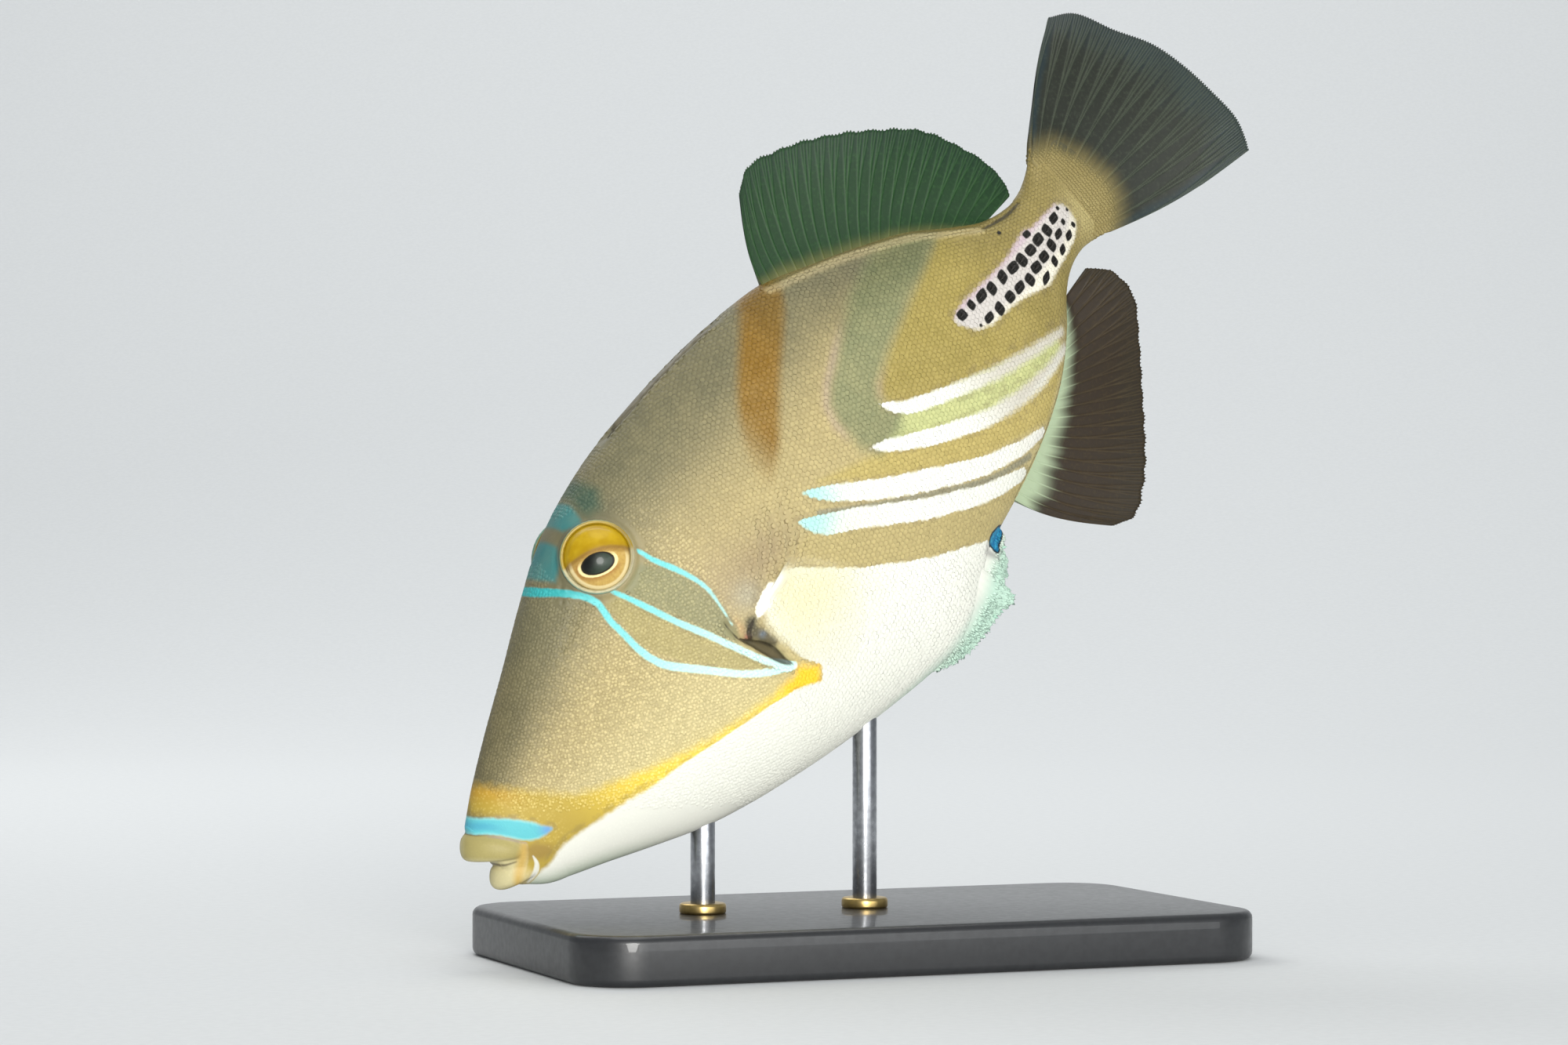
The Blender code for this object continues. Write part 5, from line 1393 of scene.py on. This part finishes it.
def make_flap(finish, shape):
    """The belly flap: a wedge of flesh that thins to a frayed keel, with small rough scales."""
    across, out = np.linspace(0, 1, 221), np.linspace(0, 1, 30)
    a, o = np.meshgrid(across, out, indexing="ij")
    middle = flap_point(a, o)
    lappet = 0.5 + 0.5 * np.sin(a * 2 * math.pi * 27 + 1.4 * np.sin(a * 19) + 3 * o)
    values = markings(middle[..., 0], middle[..., 2])
    values.update(dome=0.3 + 0.6 * lappet, tint=0 * a, pebbly=0 * a)
    values["pale_a"] = np.minimum(values["pale_a"], -1.0)
    flap = fin_sheet("belly_flap_fringe", flap_point, across, out, 0.12 * lappet * smooth((o - 0.5) / 0.3),
                     flap_half, values)
    belongs(flap, finish, "belly", "belly_flap")
    count = 1600
    a, o = draw.uniform(0.02, 0.99, count), 0.4 + 0.59 * draw.uniform(0, 1, count) ** 0.7
    size = draw.uniform(0.6, 1.1, count) * (1 - 0.35 * o)
    roots = blade_roots(flap_point, a, o, np.tile([-1.0, 1.0], count // 2), flap_half(o))
    roots.update(long=1.7 * size, wide=0.5 * size, tall=0.045 * size, lift=0.02 * size,
                 tint=draw.normal(0, 0.4, count), pebbly=0 * a, marks={"pale_a": np.full(count, -2.0)})
    grow_scales("scales_belly_flap", finish, roots, shape)


def make_bristles(finish):
    """The bristles at the belly flap's tip, all green."""
    bristles = []
    for number, (u, v, out_u, out_v) in enumerate(PELVIC_BRISTLES):
        aside = (-1) ** number
        base = np.array([u, 0.25 * aside, v])
        tip = base + [out_u, 0.12 * aside, out_v]
        line = [base - 0.3 * (tip - base), base, (base + tip) / 2, tip]
        bristles.append(tapered("bristle", line, [0.4, 0.36, 0.24, 0.05], 8, 0.8))
    bristles = join("pelvic_bristles", bristles)
    count = len(bristles.data.vertices)
    green = np.tile(FLAP_GREEN, (count, 1))
    dress(bristles, {"ground": green, "pale": green, "gold": green, "pale_a": -2.0, "pale_b": FAR,
                     "yellow": FAR, "dark": FAR, "spots": FAR, "vent": FAR, "dome": 0.6, "tint": 0.0,
                     "pebbly": 0.0}, (count,))
    belongs(bristles, finish, "belly")


# The mouth.

def lip_roll(corner, front, half_height, half_depth, bows, turns):
    """Places on a roll of flesh bowed round the muzzle's end."""
    bow, turn = np.meshgrid(bows, turns, indexing="ij")
    share = np.cos(bow)
    size = 0.3 + 0.7 * np.abs(share) ** 0.55
    up = np.sign(np.sin(turn)) * np.abs(np.sin(turn)) ** 0.85
    reach = half_depth * size * np.sign(np.cos(turn)) * np.abs(np.cos(turn)) ** 0.75
    level = np.stack([corner[0] + (front[0] - corner[0]) * share - np.cos(bow) * reach,
                      corner[1] * np.sin(bow) + np.sin(bow) * reach,
                      corner[2] + (front[1] - corner[2]) * share + half_height * size * up], -1)
    return np.stack([level[..., 0] * math.cos(PITCH) + level[..., 2] * math.sin(PITCH), level[..., 1],
                     level[..., 2] * math.cos(PITCH) - level[..., 0] * math.sin(PITCH)], -1)


def fish_places(piece):
    """A piece's points as places on the fish, the other way round from world()."""
    points = np.zeros(len(piece.data.vertices) * 3, np.float32)
    piece.data.vertices.foreach_get("co", points)
    x, y, z = (points.reshape(-1, 3).astype(float) / MM).T
    x, z = x - LIP_X, z - LIP_Z
    return x * math.cos(PITCH) + z * math.sin(PITCH), y, z * math.cos(PITCH) - x * math.sin(PITCH)


def seen_place(u, y, v):
    """Where the photograph's side view shows places of the mouth."""
    lean = np.abs(y) * LIP_LEAN
    return u + lean * math.cos(PITCH), v - lean * math.sin(PITCH)


def muzzle_shape(places, normals):
    """Both lips and the snout's end, grown together into one mesh."""
    rows = int(np.sum(places[:, 0, 0] < MUZZLE_END))
    front, normals = places[:rows], normals[:rows]
    core = front + normals * (0.04 - 0.05 * np.maximum(front[:, :1, :1] - 7.6, 0) ** 2)
    bows, turns = np.linspace(-math.pi / 2, math.pi / 2, 97), np.linspace(0, 2 * math.pi, 49)
    pieces = [lay_out("snout_end", np.concatenate([end_rings(core[0]), core]))]
    pieces += [lay_out("lip", lip_roll(*lip, bows, turns)) for lip in (UPPER_LIP, LOWER_LIP)]
    muzzle = join("muzzle", pieces)
    only(muzzle)
    grown = muzzle.modifiers.new("grown_together", "REMESH")
    grown.mode, grown.voxel_size, grown.use_smooth_shade = "VOXEL", MUZZLE_VOXEL * MM, True
    bpy.ops.object.modifier_apply(modifier=grown.name)
    u, y, v = fish_places(muzzle)
    apart = smooth((band(*seen_place(u, y, v), MOUTH_LINE) - 0.3) / 1.3) * smooth((7.8 - u) / 2.2)
    loose = muzzle.vertex_groups.new(name="loose")
    for level in range(1, 11):
        chosen = np.flatnonzero(np.round(apart * 10) == level)
        loose.add(chosen.tolist(), level / 10, "REPLACE")
    for name, group, rounds in (("flowing", "loose", 46), ("eased", "", 4)):
        eased = muzzle.modifiers.new(name, "SMOOTH")
        eased.factor, eased.iterations, eased.vertex_group = 0.5, rounds, group
        bpy.ops.object.modifier_apply(modifier=eased.name)
    muzzle.vertex_groups.clear()
    return muzzle


def make_muzzle(finish, places, normals):
    """The mouth with its lips' own colours, and a painted shadow along the mouth's line."""
    muzzle = muzzle_shape(places, normals)
    u, y, v = fish_places(muzzle)
    seen_u, seen_v = seen_place(u, y, v)
    upper, lower = region(seen_u, seen_v, UPPER_LIP_OUTLINE), region(seen_u, seen_v, LOWER_LIP_OUTLINE)
    lip = np.minimum(upper, lower)
    line, fold, crescent = (band(seen_u, seen_v, points)
                            for points in (MOUTH_LINE, MOUTH_FOLD, MOUTH_CRESCENT))
    stripe = band(u, v, LIP_STRIPE)
    below = smooth((stripe - 0.02) / 0.34)
    share = soft(lip - 0.3, 0.7) * below
    level = seen_u * math.cos(PITCH) - seen_v * math.sin(PITCH)
    low_edge = smooth((-seen_u * math.sin(PITCH) - seen_v * math.cos(PITCH) - 1.6) / 1.2)
    tan = washes(
        LIP_TAN, u,
        (0.85 * np.maximum(low_edge, smooth((0.6 - level) / 1.6)), LIP_EDGE),
        ((lip == lower) * 0.8, LIP_EDGE))
    under = ridge(stripe, 0.3, 0.2) * smooth((0.9 * u - v - 2.4) / 2.6)
    values = markings(u, v)
    values["ground"] = washes(
        values["ground"] * (1 - share[:, None]) + tan * share[:, None], u,
        (0.9 * soft(fold, 1.5), paint(202, 168, 88)),
        (soft(crescent, 0.4), WHITE),
        # A painted shadow along the mouth's line, under the upper lip.
        (0.8 * soft(line - 0.05, 0.35), paint(70, 58, 40)),
        (0.4 * under, paint(130, 120, 150)))
    mouth = np.maximum.reduce([share, soft(fold, 0.9), soft(crescent, 0.5)]) * below
    for key in ("pale_a", "yellow"):
        values[key] = values[key] * (1 - mouth) + 2.5 * mouth
    values.update(dome=0.35, tint=0.0, pebbly=0.6 * smooth((u + v - 3) / 5) * (1 - mouth))
    dress(muzzle, values, u.shape)
    belongs(muzzle, finish, "lips", "upper_lip", "lower_lip")


# Eyes.

def cap_height(x, y):
    """How far above the lower edge of the eye's yellow cap a place on its face is."""
    return y - 1.1 - 0.27 * x + 0.045 * x * x


def make_eye_rim(name, finish, seat, axis, across, up):
    """The thin ring of flesh round an eye."""
    turns, rolls = np.linspace(0, 2 * math.pi, 181), np.linspace(0, 2 * math.pi, 21)
    turn, roll = np.meshgrid(turns, rolls, indexing="ij")
    out = np.cos(turn)[..., None] * across + np.sin(turn)[..., None] * up
    radius = RIM_RADIUS + RIM_WIDTH * np.cos(roll) * (1 + 0.05 * np.sin(turn * 37))
    place = seat + out * radius[..., None] + (RIM_DEPTH * np.sin(roll) - 0.1)[..., None] * axis
    x, y = np.cos(turn) * EYE_RADIUS, np.sin(turn) * EYE_RADIUS
    tone = washes(
        paint(176, 168, 130), turn,
        (smooth((cap_height(x, y) + 0.6) / 0.8), paint(160, 134, 34)),
        (smooth(np.cos(roll) - 0.2) * smooth((0.8 - x / EYE_RADIUS) / 0.8), paint(96, 150, 138)),
        (0.7 * ridge(np.cos(roll), 0.1, 0.3) * smooth((x - 2) / 2), paint(96, 76, 38)))
    belongs(lay_out(name, place, {"tone": tone}), finish, "skin")


def make_eyes(finish, lid):
    """Both eyes, each a flattened ball in its rim."""
    for side_name, side in SIDES.items():
        seat, axis, across, up = eye_frame(side)
        clear_selection()
        bpy.ops.mesh.primitive_uv_sphere_add(segments=144, ring_count=96, radius=1)
        ball = bpy.context.object
        ball.name = "eye_" + side_name + "_ball"
        x, y, z = np.array([point.co for point in ball.data.vertices]).T
        x, y = x * EYE_RADIUS, y * EYE_RADIUS
        cap = cap_height(x, y)
        bulge = 0.3 * ridge(np.hypot(x, y + 1.3), 0, 3.2) + 0.16 * smooth((cap + 0.7) / 1.5)
        bulge += 0.08 * ridge(np.hypot(x - 0.2, y + 0.4), 4.6, 0.35)
        height = z * EYE_DEPTH + bulge * np.clip(z * 2, 0, 1)
        places = seat - axis * EYE_SINK + x[:, None] * across + y[:, None] * up + height[:, None] * axis
        ball.data.vertices.foreach_set("co", world(places).ravel().astype(np.float32))
        dress(ball, {"eye_x": x, "eye_y": y, "cap": cap}, x.shape)
        face_out(ball, merge=True)
        ball.data.shade_smooth()
        belongs(ball, finish, "eyes", "eye_" + side_name)
        make_eye_rim("eye_rim_" + side_name, lid, seat, axis, across, up)


def lid_finish():
    """The thin rim round an eye: yellow beside the cap, pale below it and teal towards the crown."""
    lid = Finish("eye_rim_flesh", Coat_Weight=0.3, Coat_Roughness=0.25)
    grain = lid.noise(1.6, 3)
    colour = lid.mix(lid.step(grain, 0.4, 0.75) * 0.25, lid.attribute("tone", "Color"), paint(110, 104, 78))
    return lid.show(Base_Color=colour, Roughness=0.4 + 0.15 * grain, Normal=lid.bump(grain, 0.04))


# The small spines of the tail stalk, the folded first dorsal fin, and the stand.

def tapered(name, line, radii, sides, squash=1.0):
    """A closed spine along a line of fish places, with its own radius at each."""
    line = np.array(line, float)
    ahead = unit(np.gradient(line, axis=0))
    side = unit(np.cross(ahead, np.array([0.1, 0.2, 1.0])))
    rise = np.cross(side, ahead)
    turns = np.linspace(0, 2 * math.pi, sides + 1)
    circle = (side[:, None] * np.cos(turns)[None, :, None]
              + squash * rise[:, None] * np.sin(turns)[None, :, None])
    return lay_out(name, line[:, None] + np.array(radii)[:, None, None] * circle)


def make_spinules(finish):
    """A small bent black spine on each of the taller dark spots, its point forwards."""
    spines = []
    for side in SIDES.values():
        for u, v, wide, tall in SPOTS:
            if tall < 0.7:
                continue
            base = np.array([u + 0.25 * tall, side * float(flank(u, v)), v])
            out = np.array([0, side, 0])
            long = 1.1 * tall
            line = [base - out * 0.4, base + out * 0.08, base + out * 0.26 + [-0.35 * long, 0, 0],
                    base + out * 0.36 + [-0.7 * long, 0, 0], base + out * 0.3 + [-long, 0, 0]]
            thick = 0.4 * wide
            spines.append(tapered("spine", line, [thick, thick, 0.72 * thick, 0.38 * thick, 0.05], 8, 0.6))
    belongs(join("stalk_spines", spines), finish, "spines")


def make_folded_fin(finish):
    """The first dorsal fin's spines and web, folded into their groove."""
    shares, sizes = np.array(SPINE_SHAPE).T
    pieces = []
    for root, tip, radius in FOLDED_SPINES:
        line = [np.array(root) + (np.array(tip) - root) * share for share in shares]
        pieces.append(tapered("spine", line, sizes * radius, 16, 0.9))
    pieces.append(tapered("web", FOLDED_WEB, WEB_RADII, 20, 0.5))
    belongs(join("folded_dorsal_spines", pieces), finish, "spines", "dorsal_spines")


def cylinder(name, radius, depth, place):
    """An upright round bar, in metres."""
    clear_selection()
    bpy.ops.mesh.primitive_cylinder_add(vertices=48, radius=radius, depth=depth, location=place)
    piece = bpy.context.object
    piece.name = name
    return piece


def make_stand(black, steel, brass):
    """The stand: a block with round corners, and two rods with their collars."""
    low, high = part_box("stand_base")
    size = high - low
    clear_selection()
    bpy.ops.mesh.primitive_cube_add(size=1, location=(high + low) / 2)
    base = bpy.context.object
    base.name = "stand_base_block"
    base.dimensions = size
    bpy.ops.object.transform_apply(location=True, rotation=False, scale=True)
    bpy.ops.object.mode_set(mode="EDIT")
    bpy.ops.mesh.select_mode(type="EDGE")
    bpy.ops.mesh.select_all(action="DESELECT")
    bpy.ops.object.mode_set(mode="OBJECT")
    for edge in base.data.edges:
        first, second = (base.data.vertices[number].co for number in edge.vertices)
        edge.select = abs(first.z - second.z) > size.z / 2
    bpy.ops.object.mode_set(mode="EDIT")
    bpy.ops.mesh.bevel(offset=BASE_CORNER * MM, segments=14, affect="EDGES")
    bpy.ops.mesh.select_mode(type="VERT")
    bpy.ops.object.mode_set(mode="OBJECT")
    soften(base, 1.3, 5)
    belongs(base, black, "stand", "stand_base")
    for name in ("stand_rod_front", "stand_rod_rear"):
        low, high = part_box(name)
        middle, radius = (low + high) / 2, (high.x - low.x) / 2
        rod = cylinder(name + "_bar", radius, high.z - low.z + 1.2 * MM,
                       (middle.x, middle.y, middle.z + 0.6 * MM))
        soften(rod, 0.3, 3)
        belongs(rod, steel, "rods", name)
        collar = cylinder(name + "_collar", radius * 1.9, 1.8 * MM, (middle.x, middle.y, low.z + 0.5 * MM))
        soften(collar, 0.5, 4)
        belongs(collar, brass, "rods")


def soften(piece, width, segments):
    """Rounds a piece's sharp edges by so many millimetres and shades it smooth."""
    only(piece)
    bpy.ops.object.transform_apply(location=True, rotation=False, scale=True)
    eased = piece.modifiers.new("eased_edges", "BEVEL")
    eased.width, eased.segments = width * MM, segments
    eased.limit_method, eased.angle_limit = "ANGLE", math.radians(60)
    bpy.ops.object.modifier_apply(modifier=eased.name)
    bpy.ops.object.shade_smooth_by_angle(angle=math.radians(35))


# The studio.

def area_light(name, place, aim, size, power, colour=(1, 1, 1)):
    lamp = bpy.data.lights.new(name, "AREA")
    lamp.shape, lamp.size, lamp.energy, lamp.color = "DISK", size, power, colour
    light = bpy.data.objects.new(name, lamp)
    light.location = place
    light.rotation_euler = (Vector(aim) - Vector(place)).to_track_quat("-Z", "Y").to_euler()
    bpy.context.scene.collection.objects.link(light)


def make_studio():
    """A pale floor that sweeps up behind, soft lights and the photograph's camera."""
    scene = bpy.context.scene
    look = Vector((math.sin(VIEW_TURN), math.cos(VIEW_TURN), 0))
    across = Vector((look.y, -look.x, 0))
    focus = Vector(VIEW_POINT) * MM
    lens = bpy.data.cameras.new("camera")
    lens.lens, lens.sensor_width, lens.clip_start, lens.clip_end = LENS, 36, 0.01, 20
    camera = bpy.data.objects.new("camera", lens)
    camera.location = focus - look * VIEW_DISTANCE * MM
    camera.rotation_euler = look.to_track_quat("-Z", "Y").to_euler()
    scene.collection.objects.link(camera)
    scene.camera = camera
    clear_selection()
    bpy.ops.mesh.primitive_grid_add(x_subdivisions=2, y_subdivisions=60, size=1)
    floor = bpy.context.object
    floor.name = "studio_sweep"
    for point in floor.data.vertices:
        run = (point.co.y + 0.5) * FLOOR_LONG
        angle = min(max(0.0, run - FLOOR_FLAT) / FLOOR_BEND, math.pi / 2)
        climb = max(0.0, run - FLOOR_FLAT - FLOOR_BEND * math.pi / 2)
        forward = min(run, FLOOR_FLAT) + FLOOR_BEND * math.sin(angle) - FLOOR_FRONT
        rise = Vector((0, 0, FLOOR_BEND * (1 - math.cos(angle)) + climb))
        point.co = look * forward + across * point.co.x * FLOOR_WIDE + rise
    floor.data.shade_smooth()
    floor.data.materials.append(plain_finish("studio_paper", paint(214, 216, 216), paint(211, 213, 213),
                                             scale=0.6, depth=0.0, rough=0.8))
    air = bpy.data.worlds.new("studio_air")
    air.use_nodes = True
    air.node_tree.nodes["Background"].inputs[0].default_value = (*paint(232, 238, 244), 1)
    air.node_tree.nodes["Background"].inputs[1].default_value = 0.4
    scene.world = air
    scene.view_settings.view_transform = "Standard"
    up = Vector((0, 0, 1))
    area_light("key", focus - look * 0.72 + across * 0.1 + up * 0.06, focus,
               size=0.3, power=5.05, colour=(1, 0.99, 0.96))
    area_light("fill", focus - look * 0.6 + across * 0.46 - up * 0.04, focus,
               size=0.5, power=2.0, colour=(0.97, 0.99, 1))
    area_light("top", focus - look * 0.1 + up * 0.75, focus, size=0.6, power=1.6)
    area_light("far_side", focus + look * 0.45 - across * 0.35 + up * 0.55, focus, size=0.5, power=1.8)
    area_light("backdrop", focus + look * 0.5 + up * 1.5, focus + look * 2.4 + up * 0.4, size=1.2, power=20.0)


def main():
    """Makes every piece of the fish and its stand, then the studio."""
    plain, places, normals = skin_shape()
    skin = skin_finish()
    shape = scale_shape()
    make_skin(skin, plain, places, normals)
    make_scales(skin, plain, grid_reader(plain, places, normals), shape)
    make_muzzle(skin, places, normals)
    # The dorsal and anal webs are nearly opaque, painted in the dark colours of a background seen through
    # clear fins.
    body_fin("dorsal_fin_blade", DORSAL_ROOT, back, DORSAL_MARGIN, DORSAL_RAYS, bow=0.07, sway=1.3,
             finish=fin_finish("dorsal_membrane", paint(112, 108, 58), clear=0.96, web=paint(8, 48, 12),
                               web_edge=paint(10, 43, 20), ray_colour=paint(54, 92, 48)),
             foot_depth=0.07, node="dorsal_fin")
    body_fin("anal_fin_blade", ANAL_ROOT, belly, ANAL_MARGIN, ANAL_RAYS, bow=0.07, sway=-1.3,
             finish=fin_finish("anal_membrane", BASE_GREEN, clear=0.96, web=paint(37, 25, 6),
                               web_edge=paint(35, 27, 11), ray_colour=paint(71, 58, 32)),
             foot_depth=0.2, node="anal_fin")
    make_tail(fin_finish("tail_membrane", TAIL_GOLD, clear=0.94, web=FIN_GREY, web_edge=FIN_BLUE,
                         ray_colour=RAY_PALE))
    make_foot_scales(skin, shape, places[-1])
    make_pectorals(fin_finish("pectoral_membrane", paint(246, 246, 236), clear=0.035, web=CREAM,
                              web_edge=CREAM, ray_colour=WHITE))
    make_flap(skin, shape)
    make_bristles(skin)
    make_eyes(eye_finish(), lid_finish())
    make_spinules(plain_finish("spine_black", SPOT_BLACK, paint(40, 34, 28),
                               scale=1.5, depth=0.03, rough=0.35))
    make_folded_fin(plain_finish("folded_spines", paint(104, 98, 78), paint(84, 78, 60),
                                 scale=0.9, depth=0.05, rough=0.45))
    make_stand(plain_finish("base_lacquer", paint(34, 35, 37), paint(27, 28, 30),
                            scale=0.8, depth=0.015, rough=0.34, Coat_Weight=0.3),
               plain_finish("rod_steel", paint(176, 178, 182), paint(150, 152, 156),
                            scale=0.9, depth=0.01, rough=0.22, Metallic=1.0),
               plain_finish("collar_brass", paint(196, 170, 110), paint(176, 150, 92),
                            scale=0.9, depth=0.01, rough=0.25, Metallic=1.0))
    make_studio()


main()
